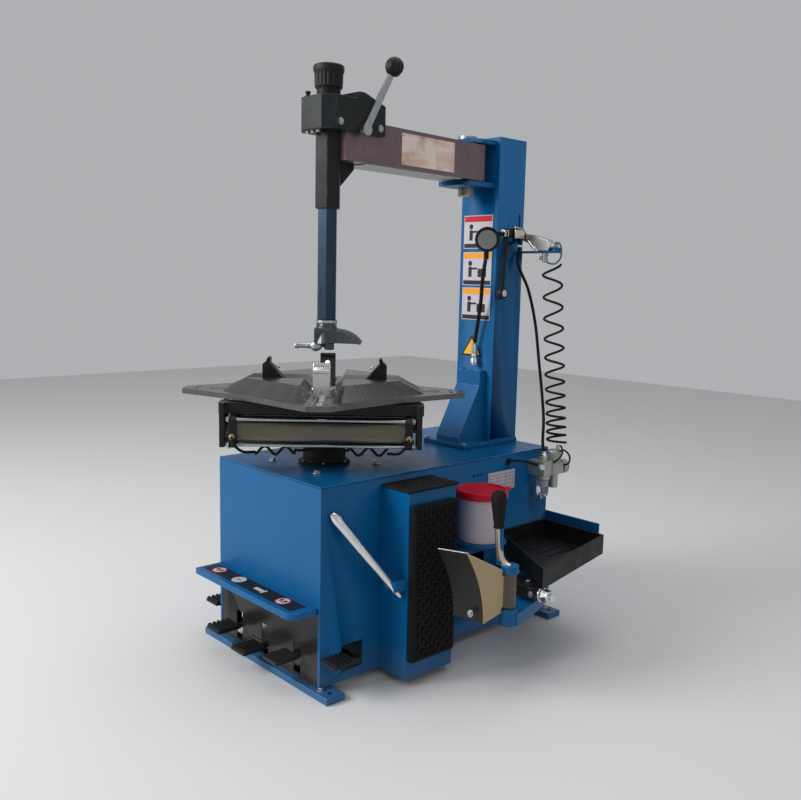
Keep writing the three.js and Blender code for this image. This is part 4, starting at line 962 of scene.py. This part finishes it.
def add_clamp_cylinders():
    turn = table_turn(45)
    centre = middle("clamp_cylinder_1").z
    half = 205
    for number, side in ((1, -1), (2, 1)):
        y = side * 110
        node = f"clamp_cylinder_{number}"
        barrel = Shape()
        outline = []
        for k in range(36):
            a = math.radians(10 * k + 5)
            flat = 29.5 / max(abs(math.cos(a)), abs(math.sin(a)))
            radius = min(33.5, flat)
            outline.append((y + radius * math.cos(a), centre + radius * math.sin(a)))
        barrel.prism(outline, -half + 16, half - 16, "x")
        piece(node + "_tube", barrel, "cylinder_tube", "turntable", 0.4, replaces=[node], turn=turn)
        caps, rods, ports = Shape(), Shape(), Shape()
        for end in (-1, 1):
            inner, outer = sorted((end * (half - 17), end * half))
            caps.prism(cut_corners(y - 36, y + 36, centre - 36, centre + 36, 7), inner, outer, "x")
            port = Vector((end * (half - 9), y + side * 35, centre - 8))
            ports.rod(port, port + Vector((0, side * 12, 0)), 7, 6, 0.6)
            ports.rod(port + Vector((0, side * 11, 0)), port + Vector((0, side * 18, 0)), 4.6, 20, 0.5)
        for dy in (-29, 29):
            for dz in (-29, 29):
                rods.rod((-half + 2, y + dy, centre + dz), (half - 2, y + dy, centre + dz), 3.6, 16)
                for end in (-1, 1):
                    rods.bolt((end * (half - 0.5), y + dy, centre + dz), (end, 0, 0), 6, 6)
        piece(node + "_caps", caps, "black_paint", "turntable", 1.5, turn=turn)
        piece(node + "_rods", rods, "steel", "turntable", 0.4, turn=turn)
        piece(node + "_ports", ports, "cylinder_tube", "turntable", 0.3, look="brass", turn=turn)
        # The air line that swings in loops below the barrel.
        line = Shape()
        points = []
        for k in range(121):
            x = -150 + 300 * k / 120
            drop = 9 * math.sin(x / 7.5) if 62 < abs(x) else 2
            points.append((x, y + side * 5 * math.cos(x / 7.5), centre - 46 + drop))
        line.tube(points, 3.2, 10)
        for end in (-1, 1):
            port = (end * (half - 9), y + side * 52, centre - 8)
            line.tube(smooth_path([port, (port[0] - end * 6, port[1] + side * 10, port[2] - 12),
                                   (port[0] - end * 22, y + side * 30, centre - 44),
                                   (end * 150, y + side * 5, centre - 49)], 8), 3.2, 10)
        piece(node + "_air_line", line, "rubber", "turntable", turn=turn)


# ---------- bead breaker ----------
def add_breaker():
    finished("breaker_arm", 2.0)
    rod_low, rod_high = corners("breaker_rod")
    y, z = (rod_low.y + rod_high.y) / 2, (rod_low.z + rod_high.z) / 2
    bar = Shape().rod((rod_low.x, y, z), (rod_high.x - 1, y, z), 10, 40, 1.2)
    piece("breaker_rod_bar", bar, "chrome", "rod", replaces=["breaker_rod"])
    nut = Shape()
    nut.lathe([(13, 0), (15, 1.6), (15, 20), (13, 22)], (467, y, z), (1, 0, 0), 6)
    nut.lathe([(17, 0), (17.5, 1), (17.5, 3), (17, 4)], (462.5, y, z), (1, 0, 0), 40)
    for k in range(4):
        nut.torus((490.5 + 1.7 * k, y, z), (1, 0, 0), 9.6, 0.8, 32, 8)
    piece("breaker_rod_nut", nut, "chrome", "rod", 0.5)
    block = Shape().box((390, y - 20, z - 14.5), (462, y + 20, z + 15))
    block.lathe([(19, 0), (19, 3), (17, 4)], (424, y, z + 14.6), (0, 0, 1), 40)
    piece("swivel_block", block, "chrome", "rod", 3.0, look="block_black")
    bolts = Shape()
    for x in (400, 448):
        bolts.bolt((x, y - 20, z), (0, -1, 0), 5, 4)
    bolts.bolt((424, y, z + 18), (0, 0, 1), 8, 6, washer=False)
    piece("swivel_bolts", bolts, "steel", "rod", 0.4)

    # Cream handle bar over the arm's front post, with a bulb grip.
    grip_low, grip_high = corners("handle_grip")
    post = Vector((452, 322, 286))
    foot = Vector(((grip_low.x + grip_high.x) / 2 - 0.5, (grip_low.y + grip_high.y) / 2 + 0.5, grip_low.z))
    bend = [post, (442, 319, 290), (431, 316.5, 300), (426.6, 315, 320), foot, foot + Vector((-0.5, -0.5, 12))]
    handle = Shape().tube(smooth_path(bend, 8), 8.6, 24)
    piece("handle_bar", handle, "tan_paint", "breaker_arm", look="cream_steel")
    grip = Shape()
    grip.lathe([(9.5, 0), (12, 1), (12.6, 4), (11.2, 8), (12.2, 14), (13.6, 26), (15, 40), (16.8, 56),
                (17.4, 66), (16, 75), (12.4, 81), (6, 84), (1, 84.6)],
               foot - Vector((0, 0, 1)), (-1.8, -1.8, 83), 56)
    piece("handle_grip_body", grip, "rubber", "breaker_arm", replaces=["handle_grip"])
    collar = Shape().lathe([(20.2, 0), (21, 0.8), (21, 4), (20.2, 5)], (*post.xy, 276.6), (0, 0, 1), 48)
    piece("post_collar", collar, "blue_paint", "breaker_arm", 0.5)
    cast_over("breaker_blade", 1.7, 4, look="blade_paint")
    screws = Shape().bolt((431, corners("breaker_blade")[0].y + 53, 200), (0, -1, 0.2), 5, 3.4)
    piece("blade_screws", screws, "steel", "blade", 0.4)
    repaint("breaker_cylinder")


# ---------- tray, bucket, lever ----------
def add_tray():
    finished("tool_tray", 1.6)
    finished("tray_bracket", 1.4)
    low, high = corners("tool_tray")
    ribs = Shape()
    for k in range(6):
        x = low.x + 34 + 30 * k
        ribs.box((x, low.y + 190, low.z + 2.9), (x + 3, high.y - 10, low.z + 5))
    piece("tray_ribs", ribs, "black_plastic", "base", 0.6)
    rim = Shape()
    points = [(low.x + 2, high.y - 2), (low.x + 2, 561), (472, 411), (406, high.y - 2)]
    loop = [(*p, high.z) for p in points]
    for start, end in zip(loop, loop[1:] + loop[:1]):
        rim.tube([start, end], 2.6, 12)
    piece("tray_rim", rim, "black_plastic", "base")
    screws = Shape()
    bracket_low, bracket_high = corners("tray_bracket")
    for x in (bracket_low.x + 20, bracket_low.x + 44):
        screws.bolt((x, bracket_high.y, 262), (0, 1, 0), 5, 3, washer=False)
    piece("bracket_screws", screws, "steel", "base", 0.4)


def add_bucket():
    low, high = corners("bucket")
    centre, radius, tall = (low + high) / 2, (high.x - low.x) / 2, high.z - low.z
    bucket = Shape()
    wall = 2.0
    bucket.lathe([(radius - 6, 0), (radius - 4, 0.6), (radius - 3.4, 2), (radius - 1.4, tall - 22),
                  (radius, tall - 21), (radius, tall - 18), (radius - 0.9, tall - 17), (radius - 0.9, tall - 2),
                  (radius - 0.4, tall), (radius - wall - 0.4, tall), (radius - wall - 3.4, 3), (1, 2.5)],
                 (centre.x, centre.y, low.z), (0, 0, 1), 96)
    piece("bucket_wall", bucket, "white_plastic", "base", replaces=["bucket"])
    cap_low, cap_high = corners("bucket_lid")
    rim = radius + 6

    def ridges(angle, along):
        return 1 + (0.012 * max(0, math.sin(60 * angle)) if 3 < along < 12 else 0)

    lid = Shape()
    top = cap_high.z - cap_low.z
    lid.lathe([(radius + 0.8, 0), (rim - 1, 0), (rim - 0.4, 1.2), (rim - 0.8, 3), (rim - 0.8, 12),
               (rim - 0.4, top - 2), (rim - 2, top), (radius - 1.5, top), (radius - 3, top - 2),
               (radius - 4, top - 3.6), (radius - 26, top - 3.8), (radius - 27, top - 2.8), (20, top - 2.8),
               (19, top - 3.8), (1, top - 3.8), (1, top - 5.6), (radius - 1, top - 5.6),
               (radius + 0.8, top - 6)],
              (centre.x, centre.y, cap_low.z), (0, 0, 1), 180, ridges)
    tab = [(centre.x + 16, centre.y + 52), (centre.x + 34, centre.y + 49), (centre.x + 36, centre.y + 62),
           (centre.x + 31, centre.y + 69), (centre.x + 22, centre.y + 69), (centre.x + 18, centre.y + 63)]
    lid.prism(tab, cap_high.z - 6, cap_high.z - 1)
    piece("bucket_lid_body", lid, "red_plastic", "bucket_lid", replaces=["bucket_lid"], smooth=40)
    # Wire bail that hangs on the bucket's far side.
    bail = Shape()
    points = []
    for k in range(41):
        a = math.pi * k / 40
        points.append((centre.x + (radius + 2.2) * math.cos(a), centre.y + (radius + 2.2) * math.sin(a),
                       high.z - 24 - 30 * math.sin(a)))
    bail.tube(points, 1.4, 10)
    piece("bucket_bail", bail, "chrome", "base")
    screws = Shape()
    for dy in (-30, 30):
        screws.bolt((217, centre.y + dy, low.z - 7.2), (0, 0, -1), 5, 4)
    piece("shelf_screws", screws, "steel", "base", 0.4)


def add_tire_lever():
    low, high = corners("tire_lever")
    top = Vector((low.x + 5.5, low.y + 5.5, high.z - 4))
    foot = Vector((high.x - 5.5, high.y - 5.5, low.z + 4))
    length = (foot - top).length
    bar = Shape()
    bar.lathe([(5.5, 0), (8.2, 4), (10.5, 10), (12.2, 18), (12.4, 26), (11.6, length * 0.3),
               (8.6, length - 36), (7.8, length - 22), (5.6, length - 5), (3.4, length)], top, foot - top, 40)
    for k in range(9):
        place = top.lerp(foot, 0.24 + 0.012 * k)
        bar.torus(place, foot - top, 11.2, 0.6, 32, 8)
    piece("tire_lever_bar", bar, "chrome", "tire_lever", replaces=["tire_lever"])


# ---------- air preparation unit ----------
def add_air_unit():
    finished("air_unit_body", 1.6)
    bowl = middle("filter_bowl")
    bowl_low, bowl_high = corners("filter_bowl")
    tall = bowl_high.z - bowl_low.z
    clear = Shape()
    clear.lathe([(15, 0), (16, 1.5), (16, 44), (14.5, 52), (10, 57), (7, 58.5), (7, tall - 16.5),
                 (5.6, tall - 15), (5.6, tall - 3), (3, tall)], (bowl.x, bowl.y, bowl_high.z), (0, 0, -1), 56)
    piece("filter_bowl_body", clear, "clear_plastic", "base", replaces=["filter_bowl"])
    element = Shape()
    element.lathe([(9, 0), (9, 26), (6, 30), (2, 31)], (bowl.x, bowl.y, bowl_high.z - 1), (0, 0, -1), 32)
    for k in range(6):
        element.torus((bowl.x, bowl.y, bowl_high.z - 4 - 4 * k), (0, 0, 1), 9, 0.8, 28, 8)
    piece("filter_element", element, "white_plastic", "base")
    guard = Shape()
    guard.lathe([(16.6, 0), (18, 0.6), (18, 9), (16.6, 10)], (bowl.x, bowl.y, bowl_high.z), (0, 0, -1), 56,
                lambda a, along: 1 + 0.02 * max(0, math.sin(22 * a)))
    piece("bowl_ring", guard, "grey_alloy", "base")

    knob = middle("regulator_knob")
    knob_low, knob_high = corners("regulator_knob")
    grip = Shape()

    def knurl(angle, along):
        return 1 - (0.05 * max(0, math.cos(18 * angle)) if 6 < along < 27 else 0)

    tall = knob_high.z - knob_low.z
    grip.lathe([(16, 0), (17.4, 1), (17.4, 5), (16.4, 6.5), (17.6, 8), (17.6, 26), (16.6, tall - 5),
                (14, tall - 1), (9, tall)], (knob.x, knob.y, knob_low.z), (0, 0, 1), 144, knurl)
    piece("regulator_knob_body", grip, "grey_alloy", "regulator_knob", replaces=["regulator_knob"], smooth=50)

    high = corners("air_unit_body")[1]
    button = Shape()
    button.lathe([(9, 0), (9.6, 1), (9.6, 6), (7, 8), (6, 13), (3, 14)],
                 (bowl.x, bowl.y, high.z - 1), (0, 0, 1), 32)
    button.lathe([(6, 0), (6, 9), (7.5, 10), (7.5, 16), (5, 17)],
                 (bowl.x + 10, bowl.y - 17, 430), (0.7, -1, 0.1), 32)
    piece("filter_cap", button, "chrome", "base")
    dial, face, dial_z = Shape(), high.y, 418
    dial.lathe([(17.5, 0), (19.4, 1.4), (19.4, 5.6), (18, 7), (16.8, 5.4), (1, 5)],
               (knob.x, face - 6.2, dial_z), (0, 1, 0), 64)
    piece("regulator_gauge", dial, "grey_alloy", "base")
    card = disc(Shape(), (knob.x, face - 1.4, dial_z), 16.2, 0.5, (0, 1, 0))
    piece("regulator_dial", card, "white_plastic", "base")
    ticks = Shape()
    for k in range(11):
        a = math.radians(-40 + 26 * k)
        ends = [(knob.x + r * math.cos(a), face - 1.0, dial_z + r * math.sin(a)) for r in (12.6, 15)]
        ticks.tube(ends, 0.45, 6)
    ticks.tube([(knob.x, face - 0.9, dial_z), (knob.x + 8, face - 0.9, dial_z + 9)], 0.6, 8)
    piece("regulator_needle", ticks, "black_plastic", "base")

    hoses = Shape()
    for radius, *points in (
        (3.0, (205, 594, 447), (214, 602, 449), (226, 630, 446), (232, 655, 438), (236, 676, 432)),
        (2.4, (254, 752, 424), (270, 762, 430), (277, 757, 452), (268, 744, 468), (256, 742, 462),
         (254, 748, 448)),
        (2.4, (251, 712, 436), (268, 716, 444), (274, 728, 460), (262, 742, 474), (250, 752, 476)),
    ):
        hoses.tube(smooth_path(points, 8), radius, 12)
    piece("air_lines", hoses, "rubber", "base")
    fittings = Shape()
    fittings.rod((243, 748, 440), (243, 752, 478), 5.4, 24, 1.2)
    fittings.lathe([(7.6, 0), (7.6, 9), (6, 10)], (243, 750, 456), (0, 0.1, 1), 6)
    fittings.lathe([(6.5, 0), (6.5, 8), (4, 9)], (228, 717, 430), (-0.3, 0, 1), 6)
    piece("air_fittings", fittings, "chrome", "base", 0.3)


# ---------- inflator and blow gun ----------
def add_inflator():
    cast_over("inflator_gun", 1.5, 4)
    finished("inflator_trigger", 1.4, 3)
    front = column_front()
    start = Vector((96, front - 29, 1013))
    face = Vector((114, front - 49, 1010))
    axis = (face - start).normalized()
    depth = (face - start).length

    def ribs(angle, along):
        return 1 - (0.03 if math.sin(36 * angle) > 0 and 3 < along < depth - 3 else 0)

    bezel = Shape()
    bezel.lathe([(26, 0), (30, 1.4), (31.6, 3.5), (31.6, depth - 4), (30.4, depth - 0.6), (27, depth),
                 (24.5, depth - 1.2), (23.6, depth - 4), (1, depth - 4.2)], start, axis, 180, ribs)
    bezel.rod((117.5, front + 2, 1027), (107, front - 33, 1018), 7, 28, 1)
    bezel.rod((102, front - 37, 992), (100, front - 35, 960), 6.4, 28, 0.6)
    piece("gauge_boot", bezel, "rubber", "base", replaces=["inflator_gauge"], smooth=40)
    dial = disc(Shape(), face - axis * 4, 23.4, 0.8, axis, 64)
    piece("gauge_dial", dial, "white_plastic", "base", look="dial_grey")
    lens = Shape()
    lens.lathe([(24.2, 0), (24.4, 0.8), (20, 1.8), (10, 2.6), (1, 2.9)], face - axis * 1.9, axis, 64)
    piece("gauge_lens", lens, "clear_plastic", "base")
    _, u, v = across(axis)
    centre = face - axis * 2.9
    ticks, needle = Shape(), Shape()
    for k in range(28):
        a = math.radians(-135 + 10 * k)
        out = u * math.sin(a) + v * math.cos(a)
        ticks.tube([centre + out * (17 if k % 3 else 15), centre + out * 20.5], 0.35, 6)
    hub = centre + axis * 0.4
    disc(ticks, hub, 2.4, 0.5, axis, 24)
    for k in range(9):
        a, b = math.radians(-128 + 14 * k), math.radians(-128 + 14 * (k + 1))
        needle.tube([centre + (u * math.sin(t) + v * math.cos(t)) * 21.6 for t in (a, b)], 0.7, 6)
    pointed = u * math.sin(-1.9) + v * math.cos(-1.9)
    needle.tube([hub - pointed * 5, hub + pointed * 15], 0.6, 6)
    piece("gauge_marks", ticks, "black_plastic", "base")
    piece("gauge_needle", needle, "red_plastic", "base")

    body = Shape()
    body.lathe([(9.4, 0), (10.2, 1), (10.2, 5), (8.8, 7), (8.8, 13), (10.6, 14), (10.6, 19), (9.4, 20)],
               (118, front + 4, 1028), (0, 1, 0), 36)
    body.lathe([(7.4, 0), (7.4, 8), (5.6, 10), (5.6, 22)], (122, front + 70, 996), (0.1, 0, 1), 6)
    piece("inflator_ferrules", body, "chrome", "base", 0.3)
    lever = Shape()
    lever.tube(smooth_path([(139, front + 30, 1044), (141, front + 52, 1040), (141, front + 74, 1026),
                            (139, front + 88, 1010)], 8), 3.2, 14)
    piece("inflator_lever", lever, "chrome", "trigger", look="brass")
    drop = Shape()
    drop.rod((116, front + 21, 1018), (116, front + 11, 882), 6.6, 28, 0.6)
    drop.lathe([(12, 0), (15.2, 1.4), (15.6, 5), (15.2, 13), (13, 15.4), (8, 16.6), (1, 16.8)],
               (109.5, front + 11, 874), (1, 0, 0), 48)
    piece("inflator_stem", drop, "black_plastic", "base")
    cap = Shape()
    cap.lathe([(9, 0), (9, 1.6), (6, 2.4), (5, 2.2)], (125.9, front + 11, 874), (1, 0, 0), 36)
    piece("stem_cap", cap, "chrome", "base")


def add_blow_gun():
    cast_over("blow_gun", 1.5, 5)
    low, high = corners("blow_gun")
    y = (low.y + high.y) / 2
    trigger = Shape()
    trigger.tube(smooth_path([(136, y - 12, low.z + 30), (150, y - 15, low.z + 22), (164, y - 15, low.z + 8),
                              (170, y - 12, low.z + 2)], 8), 3.0, 14)
    trigger.rod((130, y - 2, low.z + 36), (114, y - 3, low.z + 45), 4.6, 24, 0.6)
    piece("blow_gun_trigger", trigger, "chrome", "base")
    shelf_top, shelf_end = 984.6, 232
    under = Shape()
    under.lathe([(8.6, 0), (8.6, 7), (6.4, 8), (6.4, 15), (8, 16), (8, 22), (5, 24)],
                (196, y - 4, 980), (0, 0, -1), 28)
    under.rod((196, y - 4, 967), (182, y - 10, 967), 4.6, 20, 0.5)
    piece("shelf_fitting", under, "grey_alloy", "base")
    line = Shape()
    line.tube(smooth_path([(226, y - 2, low.z + 22), (238, y, low.z + 18), (243, y + 2, low.z - 2),
                           (240, y + 2, 966), (226, y, 953), (208, y - 2, 954), (197, y - 4, 960)], 8), 2.3, 12)
    piece("blow_gun_line", line, "rubber", "base", look="grey_line")
    lip = Shape().box((130, low.y - 5, shelf_top), (shelf_end, high.y + 3, shelf_top + 0.6))
    piece("shelf_liner", lip, "black_plastic", "base", 0.2)


# ---------- setting ----------
def add_setting():
    mesh = bpy.data.meshes.new("floor")
    reach = 6.0
    square = [(-reach, -reach, 0), (reach, -reach, 0), (reach, reach, 0), (-reach, reach, 0)]
    mesh.from_pydata(square, [], [(0, 1, 2, 3)])
    floor = bpy.data.objects.new("floor", mesh)
    bpy.context.scene.collection.objects.link(floor)
    floor_look = Look("pale_floor", (0.66, 0.66, 0.66), 0.6)
    floor_look.tint(floor_look.fade(floor_look.noise(1.5, 3), 0.4, 0.7, (0, 0.15)), (0.62, 0.62, 0.62))
    mesh.materials.append(floor_look.material)

    world = bpy.data.worlds.new("studio")
    bpy.context.scene.world = world
    world.use_nodes = True
    background = world.node_tree.nodes["Background"]
    background.inputs["Color"].default_value = (0.95, 0.97, 1.0, 1)
    background.inputs["Strength"].default_value = 0.45
    bpy.context.scene.view_settings.view_transform = "Standard"

    target = Vector((0.05, 0.3, 0.65))
    lamps = (
        ("key", (-1.6, -3.2, 2.6), 2.2, 165),
        ("top", (0.2, 0.6, 3.4), 2.4, 30),
        ("right", (3.4, 0.4, 1.4), 2.0, 4),
    )
    for name, place, size, power in lamps:
        data = bpy.data.lights.new(name, "AREA")
        data.energy = power
        data.size = size
        lamp = bpy.data.objects.new(name, data)
        lamp.location = place
        lamp.rotation_euler = (target - Vector(place)).to_track_quat("-Z", "Y").to_euler()
        bpy.context.scene.collection.objects.link(lamp)


add_camera()
add_cords()
add_cabinet()
add_hood_label()
add_pedals()
add_pad_box()
add_column()
add_swing_arm()
add_mast()
add_lock_lever()
add_turntable()
add_clamp_cylinders()
add_breaker()
add_tray()
add_bucket()
add_tire_lever()
add_air_unit()
add_inflator()
add_blow_gun()
repaint("motor", "gearbox", "motor_pulley", "gearbox_pulley", "drive_belt")
add_setting()
